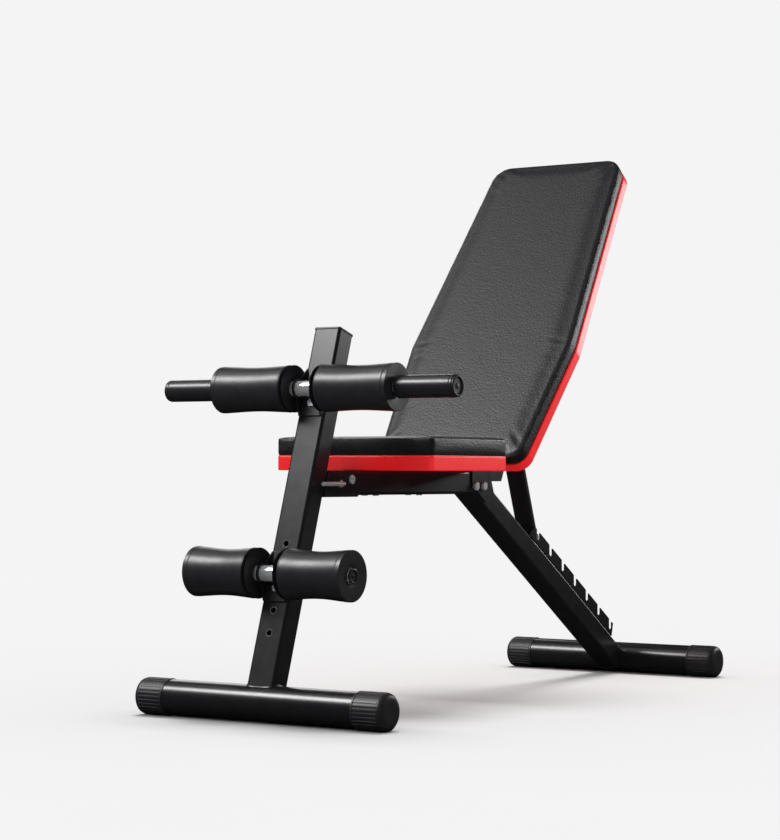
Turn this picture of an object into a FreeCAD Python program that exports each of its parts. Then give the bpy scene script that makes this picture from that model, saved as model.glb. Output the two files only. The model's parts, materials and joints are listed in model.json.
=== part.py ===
import FreeCAD, Part
import math
import os

import Sketcher
from FreeCAD import Placement, Rotation, Vector

# Folding decline sit-up bench. Millimetres; +Z up, the foam rollers face -Y, +X is the bench's
# left hand as seen by someone who sits on it. The origin lies on the floor, midway between the
# two foot tubes.

# Driving dimensions -------------------------------------------------------------------------

DIMENSIONS = {
    # feet
    "foot_spacing": 1149,        # axis of the front foot tube to axis of the rear one
    "foot_height": 29.4,         # foot tube axes above the floor
    "foot_diameter": 57.2,
    "foot_wall": 2,
    "front_foot_width": 472,     # over the caps
    "rear_foot_width": 452,
    "cap_diameter": 60,
    "cap_length": 56,
    "cap_collar": 4,             # plain rim at a cap's mouth
    "cap_round": 9,              # rounding of a cap's end
    "cap_bevel": 3.2,            # first facet of that rounding
    "cap_end": 2,                # the tube stops this far short of the rounding
    "cap_rib": 1.6,              # width of the grooves between the cap's ribs
    "cap_rib_depth": 0.8,
    # beam and rear leg
    "beam_top": 390,
    "beam_width": 45,
    "beam_depth": 40,
    "beam_front": 150,           # from the front foot axis
    "beam_rear": 594,            # corner of beam and leg, on their centre lines
    "mitre_excess": 10,          # tube left past the corner before the mitre is cut
    "tongue_rear": 25,           # the cut-out under the beam's front end, from the fold bolt
    "shelf_front": 12,
    "shelf_rear": 26,
    "shelf_height": 5,           # underside left behind the cut-out
    "tube_wall": 2,
    "tube_corner": 5,            # outer corner radius of the square tubes
    "leg_offset": 8,             # leg centre line passes this far below the rear foot axis
    "leg_weld_gap": 9,           # the leg stops this far short of the foot axis
    # front post
    "post_tilt": 17.7,           # degrees from upright
    "post_width": 50,
    "post_depth": 40,
    "post_length": 610.6,        # foot axis to the tube's top end
    "post_cap_height": 4,
    "post_cap_skirt": 15,        # part of the cap inside the tube
    "hole_diameter": 10,
    "hole_first": 107.6,         # from the foot axis, along the post
    "hole_pitch": 36,
    # roller brackets, axles, rollers and grips
    "lower_axle_along": 197.6,   # from the foot axis, along the post
    "upper_axle_drop": 107.9,    # from the post's top end
    "axle_stand_off": 18.5,      # axle centre in front of the post's face
    "axle_diameter": 25,
    "axle_wall": 2,
    "bracket_length": 80,
    "bracket_inset": 3,          # from the post's side to a bracket's ear
    "bracket_plate": 3,
    "bracket_ear": 16,           # radius of the ears round the axle
    "roller_fit": 0.05,          # radial clearance of a roller on its axle
    "roller_clear": 2,           # between the post's side and a roller's inner end
    "lower_roller_outer": 149,
    "lower_roller_diameter": 80,
    "upper_roller_outer": 169,
    "upper_roller_diameter": 76,
    "lower_roller_waist": 7,     # how much slimmer a roller is in its middle
    "upper_roller_waist": 5,
    "roller_bevel": 6,
    "grip_inner": 171,
    "grip_outer": 277,
    "grip_diameter": 36,
    "grip_bevel": 1,
    "grip_plug": 3,              # thickness of the end plug's flange
    "plug_depth": 14,
    # fold joint and its lock pin
    "fold_back": 199.8,          # fold bolt behind the front foot axis
    "fold_up": 5.5,              # fold bolt above the beam's centre line
    "fold_bolt_diameter": 8,
    "cheek_clear": 0.3,          # between a cheek and the beam's side
    "cheek_plate": 3,
    "cheek_top": 14,             # cheek edges, measured from the fold bolt
    "cheek_bottom": 28,
    "cheek_rear": 27,
    "cheek_lower_bevel": 8,
    "cheek_upper_bevel": 10,
    "lock_back": -29.6,          # lock pin from the fold bolt
    "lock_up": -7,
    "lock_diameter": 7,
    "lock_handle": 62,
    "lock_collar": 2.2,          # collar on the pin, outside the cheek
    "lock_collar_step": 2.5,     # how far the collar stands out from the pin
    "lock_end": 3,               # pin past the far cheek
    # seat
    "seat_front": 241.7,         # from the front foot axis
    "seat_length": 236.8,
    "seat_width": 306,
    "seat_board_thickness": 23.8,
    "seat_cushion_thickness": 31.6,
    "seat_corner": 7,
    "seat_screw_diameter": 6,
    "seat_screw_inset": 52,      # screws from the seat's front and rear ends
    "seat_screw_across": 11,
    "seat_screw_grip": 15,       # depth of the screws in the board
    # backrest
    "back_pivot_back": 597,      # pivot bolt behind the front foot axis
    "back_pivot_up": 35,         # pivot bolt above the beam's centre line
    "back_angle": 54.6,          # degrees from level
    "back_lowest": -10.4,        # degrees from level, resting on the stop
    "back_tube_depth": 24,
    "back_tube_length": 520,
    "back_tube_cap": 4,
    "back_tube_cap_skirt": 12,
    "back_overhang": 29.5,       # board below the pivot bolt
    "back_widest_along": 217.5,  # from the pivot bolt to the board's widest line
    "back_length": 680,
    "back_width_bottom": 286,
    "back_width_widest": 330,
    "back_width_top": 266,
    "back_corner_bottom": 25,
    "back_corner_top": 34,
    "back_corner_side": 60,
    "back_board_thickness": 18,
    "back_cushion_thickness": 29.6,
    "back_edge_bevel": 10,
    "cross_plate": 3,
    "cross_plate_width": 40,
    "cross_plate_length": 190,
    "cross_plate_lower": 90,     # from the pivot bolt, along the tube
    "cross_plate_upper": 460,
    "cross_plate_corner": 8,
    "cross_screw_across": 75,
    "cross_screw_grip": 12,
    # hinge plates at the back of the beam
    "ear_plate": 3,
    "ear_round": 12,
    "ear_neck": 6,               # half the plate's width at the foot of its ear
    "ear_shoulder": 8,
    "plate_front": 20,           # plate outline, measured from the pivot bolt
    "plate_front_top": 16,
    "plate_front_bottom": 39,
    "plate_toe_back": 25.6,
    "plate_toe_drop": 69,
    "plate_heel_back": 54,
    "plate_heel_drop": 55,
    "plate_bay_back": 45,
    "plate_bay_drop": 32,
    "plate_step_back": 23,
    "plate_step_drop": 22,
    "plate_horn": 4,             # the plate's rear corner past the stop block
    "plate_horn_drop": 12,
    "pivot_bolt_diameter": 10,
    "pivot_fit": 0.05,
    "pivot_spacer": 4,           # wall of the tubes on the pivot bolt
    "joint_bolt_diameter": 8,
    "joint_bolt_front": 8,       # bolt through the beam, in front of the corner
    "joint_bolt_rear": 19,       # bolt through the leg, behind the corner
    "joint_bolt_drop": 6.2,
    "stop_front": 49,            # stop block behind the pivot bolt
    "stop_rear": 85,
    "stop_bottom": 33,           # underside of the stop block below the pivot bolt
    "stop_taper": 6,             # how much shorter its underside is
    "stop_lean": 1,
    # rack and strut
    "rack_plate": 3,
    "rack_first": 241.8,         # beam corner to the first notch, along the leg
    "rack_pitch": 55.4,
    "rack_height": 23,
    "rack_foot_front": 30,       # rack foot and top, past the first and the last notch
    "rack_top_front": 20,
    "rack_foot_rear": 14,
    "rack_top_rear": 6,
    "notch_width": 12,
    "notch_centre": 13,          # notch centres above the leg's top face
    "strut_clear": 1,            # between the strut and each rack plate
    "strut_depth": 14,
    "strut_wall": 3.2,
    "strut_pivot_along": 190,    # from the backrest's pivot bolt
    "strut_bolt_diameter": 8,
    "strut_fork": 36,            # open length of the strut's upper end
    "strut_solid": 12,           # solid length at its foot
    "strut_flat": 2,             # half the flat on its narrow sides
    "strut_pin_diameter": 10,
    "strut_pin_short": 1,        # cross pin ends inside the rack plates by this much
    # loose fits and fasteners
    "gap": 0.3,                  # between pieces that move past each other
    "nut_height": 6.5,
    "low_nut_height": 4.6,
    "head_height": 5.3,
    "low_head_height": 3.2,
    "screw_head_height": 1.5,
    "bolt_past_nut": 1,
}

NOTCHES = 7
CAP_RIBS = 30
POST_HOLES = 5
HEX_CORNERS = 1.9    # width over a hexagon's corners for each millimetre of thread
PAST = 1             # cutters reach this far past the material

doc = FreeCAD.newDocument("SitUpBench")
sheet = doc.addObject("Spreadsheet::Sheet", "Dimensions")
for row, (alias, value) in enumerate(DIMENSIONS.items(), start=1):
    sheet.set(f"A{row}", str(value))
    sheet.setAlias(f"A{row}", alias)
doc.recompute()


# Sizes that remember their formula ----------------------------------------------------------

class Size:
    """A number together with the sheet formula that gives it."""

    def __init__(self, value, formula):
        self.value = float(value)
        self.formula = formula

    def joined(self, sign, other, value):
        return Size(value, f"({self.formula} {sign} {other.formula})")

    def __add__(self, other):
        other = as_size(other)
        return self.joined("+", other, self.value + other.value)

    def __sub__(self, other):
        other = as_size(other)
        return self.joined("-", other, self.value - other.value)

    def __mul__(self, other):
        other = as_size(other)
        return self.joined("*", other, self.value * other.value)

    def __truediv__(self, other):
        other = as_size(other)
        return self.joined("/", other, self.value / other.value)

    def __radd__(self, other):
        return as_size(other) + self

    def __rsub__(self, other):
        return as_size(other) - self

    def __rmul__(self, other):
        return as_size(other) * self

    def __neg__(self):
        return as_size(0) - self


def as_size(number):
    """A plain number as a Size; a Size stays as it is."""
    if isinstance(number, Size):
        return number
    return Size(number, f"({number})")


def cell(alias):
    """The Size held in one cell of the sheet."""
    return Size(sheet.get(alias), f"{sheet.Name}.{alias}")


def sine(angle):
    return Size(math.sin(math.radians(angle.value)), f"sin({angle.formula})")


def cosine(angle):
    return Size(math.cos(math.radians(angle.value)), f"cos({angle.formula})")


def root(square):
    return Size(math.sqrt(square.value), f"sqrt({square.formula})")


def arctangent(ratio):
    return Size(math.degrees(math.atan(ratio.value)), f"atan({ratio.formula})")


def arcsine(ratio):
    return Size(math.degrees(math.asin(ratio.value)), f"asin({ratio.formula})")


def tangent(angle):
    return sine(angle) / cosine(angle)


# Sketches and features ----------------------------------------------------------------------

PARTS = []          # finished sub-parts, each written to a file under its Label
PLANES = {"X": ("YZ_Plane", 1), "Y": ("XZ_Plane", -1), "Z": ("XY_Plane", 1)}
ORIGIN_POINT = (-1, 1)
FLAT_AXIS = -1
UPRIGHT_AXIS = -2


def bind(thing, name, size):
    """Set a property or constraint by its formula."""
    thing.setExpression(name, as_size(size).formula)


def new_body(label, frame):
    body = doc.addObject("PartDesign::Body", label)
    body.Label = label
    body.Placement = frame
    PARTS.append(body)
    return body


def new_sketch(body, axis, middle):
    """A sketch square to one axis of the body, at a distance along it."""
    role, direction = PLANES[axis]
    plane = next(item for item in body.Origin.OriginFeatures if item.Role == role)
    sketch = body.newObject("Sketcher::SketchObject", f"{body.Name}_sketch")
    sketch.AttachmentSupport = (plane, "")
    sketch.MapMode = "FlatFace"
    bind(sketch, ".AttachmentOffset.Base.z", direction * as_size(middle))
    return sketch


def pin_point(sketch, line, end, x, y):
    """Hold one end of a line, or a centre, at sheet-driven coordinates."""
    for kind, zero_axis, size in (("DistanceX", UPRIGHT_AXIS, x), ("DistanceY", FLAT_AXIS, y)):
        size = as_size(size)
        if abs(size.value) < 1e-9:
            sketch.addConstraint(Sketcher.Constraint("PointOnObject", line, end, zero_axis))
            continue
        index = sketch.addConstraint(
            Sketcher.Constraint(kind, *ORIGIN_POINT, line, end, size.value))
        bind(sketch, f"Constraints[{index}]", size)


def polygon(*corners):
    """A closed outline of straight lines."""
    def draw(sketch):
        points = [Vector(as_size(x).value, as_size(y).value, 0) for x, y in corners]
        first = sketch.GeometryCount
        for start, end in zip(points, points[1:] + points[:1]):
            sketch.addGeometry(Part.LineSegment(start, end))
        for index, (x, y) in enumerate(corners):
            line = first + index
            following = first + (index + 1) % len(corners)
            sketch.addConstraint(Sketcher.Constraint("Coincident", line, 2, following, 1))
            pin_point(sketch, line, 1, x, y)
    return draw


def circle(radius, x=0, y=0):
    """A circle about a point."""
    def draw(sketch):
        centre = Vector(as_size(x).value, as_size(y).value, 0)
        ring = sketch.addGeometry(
            Part.Circle(centre, Vector(0, 0, 1), as_size(radius).value))
        index = sketch.addConstraint(
            Sketcher.Constraint("Radius", ring, as_size(radius).value))
        bind(sketch, f"Constraints[{index}]", radius)
        if as_size(x).value == 0 and as_size(y).value == 0:
            sketch.addConstraint(Sketcher.Constraint("Coincident", ring, 3, *ORIGIN_POINT))
        else:
            pin_point(sketch, ring, 3, x, y)
    return draw


def rounded_rectangle(width, depth, radius):
    """A rectangle about the origin whose corners are quarter circles."""
    def draw(sketch):
        half_width, half_depth = width.value / 2, depth.value / 2
        reach_x, reach_y = half_width - radius.value, half_depth - radius.value
        corners = ((1, -1), (1, 1), (-1, 1), (-1, -1))
        first = sketch.GeometryCount
        starts = ((-reach_x, -half_depth), (half_width, -reach_y),
                  (reach_x, half_depth), (-half_width, reach_y))
        ends = ((reach_x, -half_depth), (half_width, reach_y),
                (-reach_x, half_depth), (-half_width, -reach_y))
        for quarter, (start, end) in enumerate(zip(starts, ends)):
            side_x, side_y = corners[quarter]
            sketch.addGeometry(Part.LineSegment(Vector(*start, 0), Vector(*end, 0)))
            round_corner = Part.Circle(
                Vector(side_x * reach_x, side_y * reach_y, 0), Vector(0, 0, 1), radius.value)
            turn = math.pi / 2 * quarter
            sketch.addGeometry(
                Part.ArcOfCircle(round_corner, turn - math.pi / 2, turn))
        for quarter in range(4):
            line = first + 2 * quarter
            arc = line + 1
            following = first + (2 * quarter + 2) % 8
            sketch.addConstraint(Sketcher.Constraint("Tangent", line, 2, arc, 1))
            sketch.addConstraint(Sketcher.Constraint("Tangent", arc, 2, following, 1))
            kind = "Horizontal" if quarter % 2 == 0 else "Vertical"
            sketch.addConstraint(Sketcher.Constraint(kind, line))
            if quarter:
                sketch.addConstraint(Sketcher.Constraint("Equal", first + 1, arc))
        index = sketch.addConstraint(Sketcher.Constraint("Radius", first + 1, radius.value))
        bind(sketch, f"Constraints[{index}]", radius)
        sides = (("DistanceY", 0, -depth / 2), ("DistanceX", 2, width / 2),
                 ("DistanceY", 4, depth / 2), ("DistanceX", 6, -width / 2))
        for kind, line, size in sides:
            index = sketch.addConstraint(
                Sketcher.Constraint(kind, *ORIGIN_POINT, first + line, 1, size.value))
            bind(sketch, f"Constraints[{index}]", size)
    return draw


def sketched_feature(kind, body, axis, start, end, shapes):
    start, end = as_size(start), as_size(end)
    sketch = new_sketch(body, axis, (start + end) / 2)
    for draw in shapes:
        draw(sketch)
    feature = body.newObject(kind, f"{body.Name}_feature")
    feature.Profile = sketch
    feature.SideType = "Symmetric"
    bind(feature, "Length", end - start)
    doc.recompute()
    return feature


def extrude(body, axis, start, end, *shapes):
    """Add material with these outlines between two places on an axis of the body."""
    return sketched_feature("PartDesign::Pad", body, axis, start, end, shapes)


def cut(body, axis, start, end, *shapes):
    """Take these outlines away between two places, and make sure that something went."""
    before = body.Shape.Volume
    feature = sketched_feature("PartDesign::Pocket", body, axis, start, end, shapes)
    if body.Shape.Volume >= before - 1e-6:
        raise RuntimeError(f"{body.Label}: a pocket removed nothing")
    return feature


def turn(body, *corners):
    """Revolve a closed (along X, radius) outline about the body's X axis."""
    sketch = new_sketch(body, "Y", 0)
    polygon(*corners)(sketch)
    feature = body.newObject("PartDesign::Revolution", f"{body.Name}_turned")
    feature.Profile = sketch
    feature.ReferenceAxis = (sketch, ["H_Axis"])
    feature.Angle = 360
    doc.recompute()
    return feature


def dress(body, kind, chosen, size):
    """Fillet or chamfer the edges of the body that the chooser picks."""
    base = body.Tip
    names = [f"Edge{index}" for index, edge in enumerate(base.Shape.Edges, start=1) if chosen(edge)]
    if not names:
        raise RuntimeError(f"{body.Label}: no edge to dress")
    feature = body.newObject(kind, f"{body.Name}_dressed")
    feature.Base = (base, names)
    bind(feature, "Radius" if kind.endswith("Fillet") else "Size", size)
    doc.recompute()
    return feature


def is_straight_along(edge, direction):
    """Whether an edge is a straight line along X, Y or Z of its body."""
    if not isinstance(edge.Curve, Part.Line):
        return False
    return abs(edge.Curve.Direction.dot(direction)) > 1 - 1e-6


X_WAY = Vector(1, 0, 0)
Z_WAY = Vector(0, 0, 1)
ACROSS = Rotation(Vector(0, 1, 0), 90)       # turns a primitive's Z axis to +X
UPRIGHT = Rotation()


def moved(frame, x, along, up, rotation=UPRIGHT):
    """A placement inside a frame."""
    spot = Vector(as_size(x).value, as_size(along).value, as_size(up).value)
    return frame.multiply(Placement(spot, rotation))


def primitive(kind, placement, **sizes):
    """A Part primitive whose sizes are formulas."""
    thing = doc.addObject(kind, kind.split("::")[1])
    for name, size in sizes.items():
        bind(thing, name, size)
    thing.Placement = placement
    return thing


def pair_of(kind, base, tool):
    result = doc.addObject(kind, kind.split("::")[1])
    result.Base = base
    result.Tool = tool
    return result


def hexagon(placement, across_corners, height):
    head = primitive("Part::Prism", placement, Circumradius=across_corners / 2, Height=height)
    head.Polygon = 6
    return head


def bolt(frame, spot, rotation, start, end, diameter, head_height):
    """A hexagon bolt whose shank runs from start to end, with the head beyond the end."""
    run = end - start
    foot = moved(frame, *spot, rotation).multiply(Placement(Vector(0, 0, start.value), UPRIGHT))
    top = foot.multiply(Placement(Vector(0, 0, run.value), UPRIGHT))
    shank = primitive("Part::Cylinder", foot, Radius=diameter / 2, Height=run)
    return pair_of("Part::Fuse", shank, hexagon(top, HEX_CORNERS * diameter, head_height))


def nut(frame, spot, rotation, start, diameter, height):
    """A hexagon nut that stands on start and is as long as height along the rotated axis."""
    foot = moved(frame, *spot, rotation).multiply(Placement(Vector(0, 0, start.value), UPRIGHT))
    bore = primitive("Part::Cylinder", foot, Radius=diameter / 2, Height=height)
    return pair_of("Part::Cut", hexagon(foot, HEX_CORNERS * diameter, height), bore)


def one_node(label, things):
    """Several like solids that share one node."""
    group = doc.addObject("Part::Compound", label)
    group.Label = label
    group.Links = things
    PARTS.append(group)
    return group


def side_name(side):
    return "right" if side > 0 else "left"


# Frames and derived places ------------------------------------------------------------------
# In every frame X is the bench's own X, Y runs along the main tube of that group and Z is the
# face that looks up or forward.

foot_height = cell("foot_height")
beam_width = cell("beam_width")
beam_depth = cell("beam_depth")
beam_rear = cell("beam_rear")
beam_half = beam_depth / 2
beam_side = beam_width / 2
beam_centre = cell("beam_top") - beam_half
wall = cell("tube_wall")
corner = cell("tube_corner")
gap = cell("gap")
post_tilt = cell("post_tilt")
post_front = cell("post_depth") / 2
foot_radius = cell("foot_diameter") / 2
axle_radius = cell("axle_diameter") / 2
head_height = cell("head_height")
low_head = cell("low_head_height")
nut_height = cell("nut_height")
nut_and_end = nut_height + cell("bolt_past_nut")

leg_run = cell("foot_spacing") - beam_rear
leg_drop = beam_centre - foot_height
leg_offset = cell("leg_offset")
leg_square = leg_run * leg_run + leg_drop * leg_drop
leg_slope = arctangent(leg_drop / leg_run) + arcsine(leg_offset / root(leg_square))
leg_length = root(leg_square - leg_offset * leg_offset)
mitre = tangent(leg_slope / 2)

GROUND = Placement(Vector(0, -cell("foot_spacing").value / 2, 0), UPRIGHT)
POST = moved(GROUND, 0, 0, foot_height, Rotation(X_WAY, 90 - post_tilt.value))
BEAM = moved(GROUND, 0, 0, beam_centre)
LEG = moved(BEAM, 0, beam_rear, 0, Rotation(X_WAY, -leg_slope.value))
FOLD = moved(BEAM, 0, cell("fold_back"), cell("fold_up"))
PIVOT = moved(BEAM, 0, cell("back_pivot_back"), cell("back_pivot_up"))
BACK = moved(PIVOT, 0, 0, 0, Rotation(X_WAY, cell("back_angle").value))

rack_first = cell("rack_first")
notch_height = beam_half + cell("notch_centre")
# The strut stands between the rack plates, and its fork straddles the backrest's tube.
strut_side = beam_side - cell("rack_plate") - cell("strut_clear")
strut_wall = cell("strut_wall")
back_tube_side = strut_side - strut_wall - gap
strut_top = BACK.multVec(Vector(0, cell("strut_pivot_along").value, 0))
strut_foot = LEG.multVec(Vector(0, rack_first.value, notch_height.value))
strut_way = strut_foot - strut_top
strut_turn = math.degrees(math.atan2(strut_way.z, strut_way.y))
STRUT = Placement(strut_top, Rotation(X_WAY, strut_turn))


# Foot tubes and caps ------------------------------------------------------------------------

def tube_stop(width):
    """Half the length of a foot tube, which stops before its caps' ends begin to round."""
    return width / 2 - cell("cap_round") - cell("cap_end")


def foot_tube(label, frame, width):
    """A round foot tube; the caps stand out past its ends by their solid end."""
    body = new_body(label, frame)
    half = tube_stop(width)
    extrude(body, "X", -half, half, circle(foot_radius), circle(foot_radius - cell("foot_wall")))


def foot_cap(label, frame, width, side):
    """A ribbed plastic cap with a rounded end and a flat underneath that stands on the floor."""
    body = new_body(label, frame)
    cap_radius = cell("cap_diameter") / 2
    outer = width / 2
    round_off = cell("cap_round")
    mouth = outer - cell("cap_length")
    seat = tube_stop(width)
    bevel = cell("cap_bevel")
    turn(body,
         (side * mouth, foot_radius), (side * mouth, cap_radius),
         (side * (outer - round_off), cap_radius), (side * (outer - bevel), cap_radius - bevel),
         (side * outer, cap_radius - round_off), (side * outer, 0),
         (side * seat, 0), (side * seat, foot_radius))
    rib_end = outer - 1.5 * round_off
    half_rib = cell("cap_rib") / 2
    floor = cap_radius - cell("cap_rib_depth")
    ends = sorted((side * (mouth + cell("cap_collar")), side * rib_end),
                  key=lambda size: size.value)
    groove = cut(body, "X", *ends,
                 polygon((-half_rib, floor), (half_rib, floor),
                         (half_rib, cap_radius + PAST), (-half_rib, cap_radius + PAST)))
    ribs = body.newObject("PartDesign::PolarPattern", f"{label}_ribs")
    ribs.Originals = [groove]
    ribs.Axis = (groove.Profile[0], ["N_Axis"])
    ribs.Angle = 360
    ribs.Occurrences = CAP_RIBS
    body.Tip = ribs
    doc.recompute()
    low = -foot_height
    below = low - PAST
    ends = sorted((side * (mouth - PAST), side * (outer + PAST)), key=lambda size: size.value)
    cut(body, "X", *ends,
        polygon((-cap_radius, below), (cap_radius, below), (cap_radius, low), (-cap_radius, low)))


FEET = {"front": moved(GROUND, 0, 0, foot_height),
        "rear": moved(GROUND, 0, cell("foot_spacing"), foot_height)}
for place, frame in FEET.items():
    width = cell(f"{place}_foot_width")
    foot_tube(f"{place}_foot_tube", frame, width)
    for side in (1, -1):
        foot_cap(f"{place}_foot_cap_{side_name(side)}", frame, width, side)


# Main beam, rear leg and rack ---------------------------------------------------------------

def square_tube(body, start, end, width, depth, radius, thickness):
    """A hollow rectangular tube with rounded corners along the body's Y axis."""
    extrude(body, "Y", start, end,
            rounded_rectangle(width, depth, radius),
            rounded_rectangle(width - 2 * thickness, depth - 2 * thickness, radius - thickness))


fold_back = cell("fold_back")
fold_up = cell("fold_up")
lock_radius = cell("lock_diameter") / 2
lock_back = cell("lock_back")
lock_up = cell("lock_up")
joint_bolt_radius = cell("joint_bolt_diameter") / 2
joint_bolt_up = -cell("joint_bolt_drop")
JOINT_BOLTS = ((beam_rear - cell("joint_bolt_front"), joint_bolt_up),
               (beam_rear + cell("joint_bolt_rear"), joint_bolt_up))

beam = new_body("main_beam", BEAM)
mitre_reach = beam_half + cell("mitre_excess")
square_tube(beam, cell("beam_front"), beam_rear + mitre_reach, beam_width, beam_depth, corner, wall)
cut(beam, "X", -beam_width, beam_width,
    polygon((beam_rear + mitre * mitre_reach, mitre_reach),
            (beam_rear - mitre * mitre_reach, -mitre_reach),
            (beam_rear + 3 * mitre_reach, -mitre_reach),
            (beam_rear + 3 * mitre_reach, mitre_reach)))
# The underside is open in front of and below the fold bolt, so the lock pin can swing past.
tongue = fold_up + lock_up + lock_radius + gap
shelf = cell("shelf_height") - beam_half
shelf_end = fold_back + cell("shelf_rear")
before_beam = cell("beam_front") - PAST
cut(beam, "X", -beam_width, beam_width,
    polygon((before_beam, tongue), (fold_back - cell("tongue_rear"), tongue),
            (fold_back - cell("shelf_front"), shelf), (shelf_end, shelf),
            (shelf_end, -mitre_reach), (before_beam, -mitre_reach)))
cut(beam, "X", -beam_width, beam_width,
    circle(cell("fold_bolt_diameter") / 2, fold_back, fold_up))
cut(beam, "X", -beam_width, beam_width, circle(joint_bolt_radius, *JOINT_BOLTS[0]))

seat_front = cell("seat_front")
seat_length = cell("seat_length")
seat_screw_radius = cell("seat_screw_diameter") / 2
seat_screw_inset = cell("seat_screw_inset")
seat_screw_across = cell("seat_screw_across")
SEAT_SCREWS = [(side * seat_screw_across, along)
               for along in (seat_front + seat_screw_inset,
                             seat_front + seat_length - seat_screw_inset)
               for side in (-1, 1)]
for across, along in SEAT_SCREWS:
    cut(beam, "Z", -beam_depth, beam_depth, circle(seat_screw_radius, across, along))

leg = new_body("rear_leg", LEG)
leg_end = leg_length - cell("leg_weld_gap")
square_tube(leg, -mitre_reach, leg_end, beam_width, beam_depth, corner, wall)
cut(leg, "X", -beam_width, beam_width,
    polygon((-mitre * mitre_reach, mitre_reach), (mitre * mitre_reach, -mitre_reach),
            (-3 * mitre_reach, -mitre_reach), (-3 * mitre_reach, mitre_reach)))
cut(leg, "X", -beam_width, beam_width, circle(foot_radius, leg_length, leg_offset))


def to_leg(along, up):
    """A place in the beam's side view as the leg's frame sees it."""
    run = along - beam_rear
    cos, sin = cosine(leg_slope), sine(leg_slope)
    return run * cos - up * sin, run * sin + up * cos


cut(leg, "X", -beam_width, beam_width, circle(joint_bolt_radius, *to_leg(*JOINT_BOLTS[1])))


def rack_plate(label, side):
    """A toothed plate that stands along the leg's top, flush with its side."""
    body = new_body(label, LEG)
    outer = beam_side
    inner = outer - cell("rack_plate")
    ends = sorted((side * inner, side * outer), key=lambda size: size.value)
    pitch = cell("rack_pitch")
    last = rack_first + (NOTCHES - 1) * pitch
    top = beam_half + cell("rack_height")
    extrude(body, "X", *ends,
            polygon((rack_first - cell("rack_foot_front"), beam_half),
                    (last + cell("rack_foot_rear"), beam_half),
                    (last + cell("rack_top_rear"), top),
                    (rack_first - cell("rack_top_front"), top)))
    # Each notch opens straight up in the world, so it leans back against the leg's slope.
    half = cell("notch_width") / 2
    lean = tangent(leg_slope)
    rise = cell("rack_height")
    half_open = half / cosine(leg_slope)
    foot = cut(body, "X", *ends, circle(half, rack_first, notch_height))
    mouth = cut(body, "X", *ends,
                polygon((rack_first - half_open, notch_height),
                        (rack_first + half_open, notch_height),
                        (rack_first + half_open - lean * rise, notch_height + rise),
                        (rack_first - half_open - lean * rise, notch_height + rise)))
    row = body.newObject("PartDesign::LinearPattern", f"{label}_row")
    row.Originals = [foot, mouth]
    row.Direction = (foot.Profile[0], ["H_Axis"])
    bind(row, "Length", (NOTCHES - 1) * pitch)
    row.Occurrences = NOTCHES
    body.Tip = row
    doc.recompute()


for side in (1, -1):
    rack_plate(f"rack_plate_{side_name(side)}", side)


# Hinge plates and stop at the beam's rear end -----------------------------------------------

pivot_radius = cell("pivot_bolt_diameter") / 2
pivot_back = cell("back_pivot_back")
pivot_up = cell("back_pivot_up")
ear_round = cell("ear_round")
stop_front = cell("stop_front")
stop_rear = cell("stop_rear")
stop_bottom = cell("stop_bottom")
stop_taper = cell("stop_taper")


def hinge_plate(label, side):
    """A plate that ties beam to leg, carries the backrest pivot and holds the stop block."""
    body = new_body(label, PIVOT)
    ends = sorted((side * beam_side, side * (beam_side + cell("ear_plate"))),
                  key=lambda size: size.value)
    front = -cell("plate_front")
    neck = cell("ear_neck")
    shoulder = cell("ear_shoulder")
    extrude(body, "X", *ends,
            polygon((front, -cell("plate_front_top")), (front, -cell("plate_front_bottom")),
                    (cell("plate_toe_back"), -cell("plate_toe_drop")),
                    (cell("plate_heel_back"), -cell("plate_heel_drop")),
                    (cell("plate_bay_back"), -cell("plate_bay_drop")),
                    (cell("plate_step_back"), -cell("plate_step_drop")),
                    (stop_front, -stop_bottom), (stop_rear - stop_taper, -stop_bottom),
                    (stop_rear + cell("plate_horn"), -cell("plate_horn_drop")),
                    (stop_rear, -shoulder), (neck, shoulder), (-neck, shoulder)))
    extrude(body, "X", *ends, circle(ear_round))
    cut(body, "X", *ends, circle(pivot_radius))
    for along, up in JOINT_BOLTS:
        cut(body, "X", *ends, circle(joint_bolt_radius, along - pivot_back, up - pivot_up))


for side in (1, -1):
    hinge_plate(f"hinge_plate_{side_name(side)}", side)

# The stop block's top lies along the tube's underside at the backrest's lowest position.
lowest = cell("back_lowest")
tube_half = cell("back_tube_depth") / 2
stop_drop = (tube_half + gap) / cosine(lowest)
slant = tangent(lowest)
stop_lean = cell("stop_lean")
stop = new_body("backrest_stop", PIVOT)
extrude(stop, "X", -beam_side, beam_side,
        polygon((stop_front, -stop_bottom), (stop_rear - stop_taper, -stop_bottom),
                (stop_rear - stop_lean, slant * (stop_rear - stop_lean) - stop_drop),
                (stop_front - stop_lean, slant * (stop_front - stop_lean) - stop_drop)))

plates_outside = beam_side + cell("ear_plate")
joint_bolt = cell("joint_bolt_diameter")
one_node("leg_joint_bolts", [
    bolt(BEAM, (0, along, up), ACROSS, -plates_outside - nut_and_end, plates_outside,
         joint_bolt, head_height) for along, up in JOINT_BOLTS])
one_node("leg_joint_nuts", [
    nut(BEAM, (0, along, up), ACROSS, -plates_outside - nut_height, joint_bolt, nut_height)
    for along, up in JOINT_BOLTS])

pivot_bolt = cell("pivot_bolt_diameter")
one_node("backrest_pivot_bolt", [
    bolt(PIVOT, (0, 0, 0), ACROSS, -plates_outside - nut_and_end, plates_outside,
         pivot_bolt, head_height)])
one_node("backrest_pivot_nut", [
    nut(PIVOT, (0, 0, 0), ACROSS, -plates_outside - nut_height, pivot_bolt, nut_height)])

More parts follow.
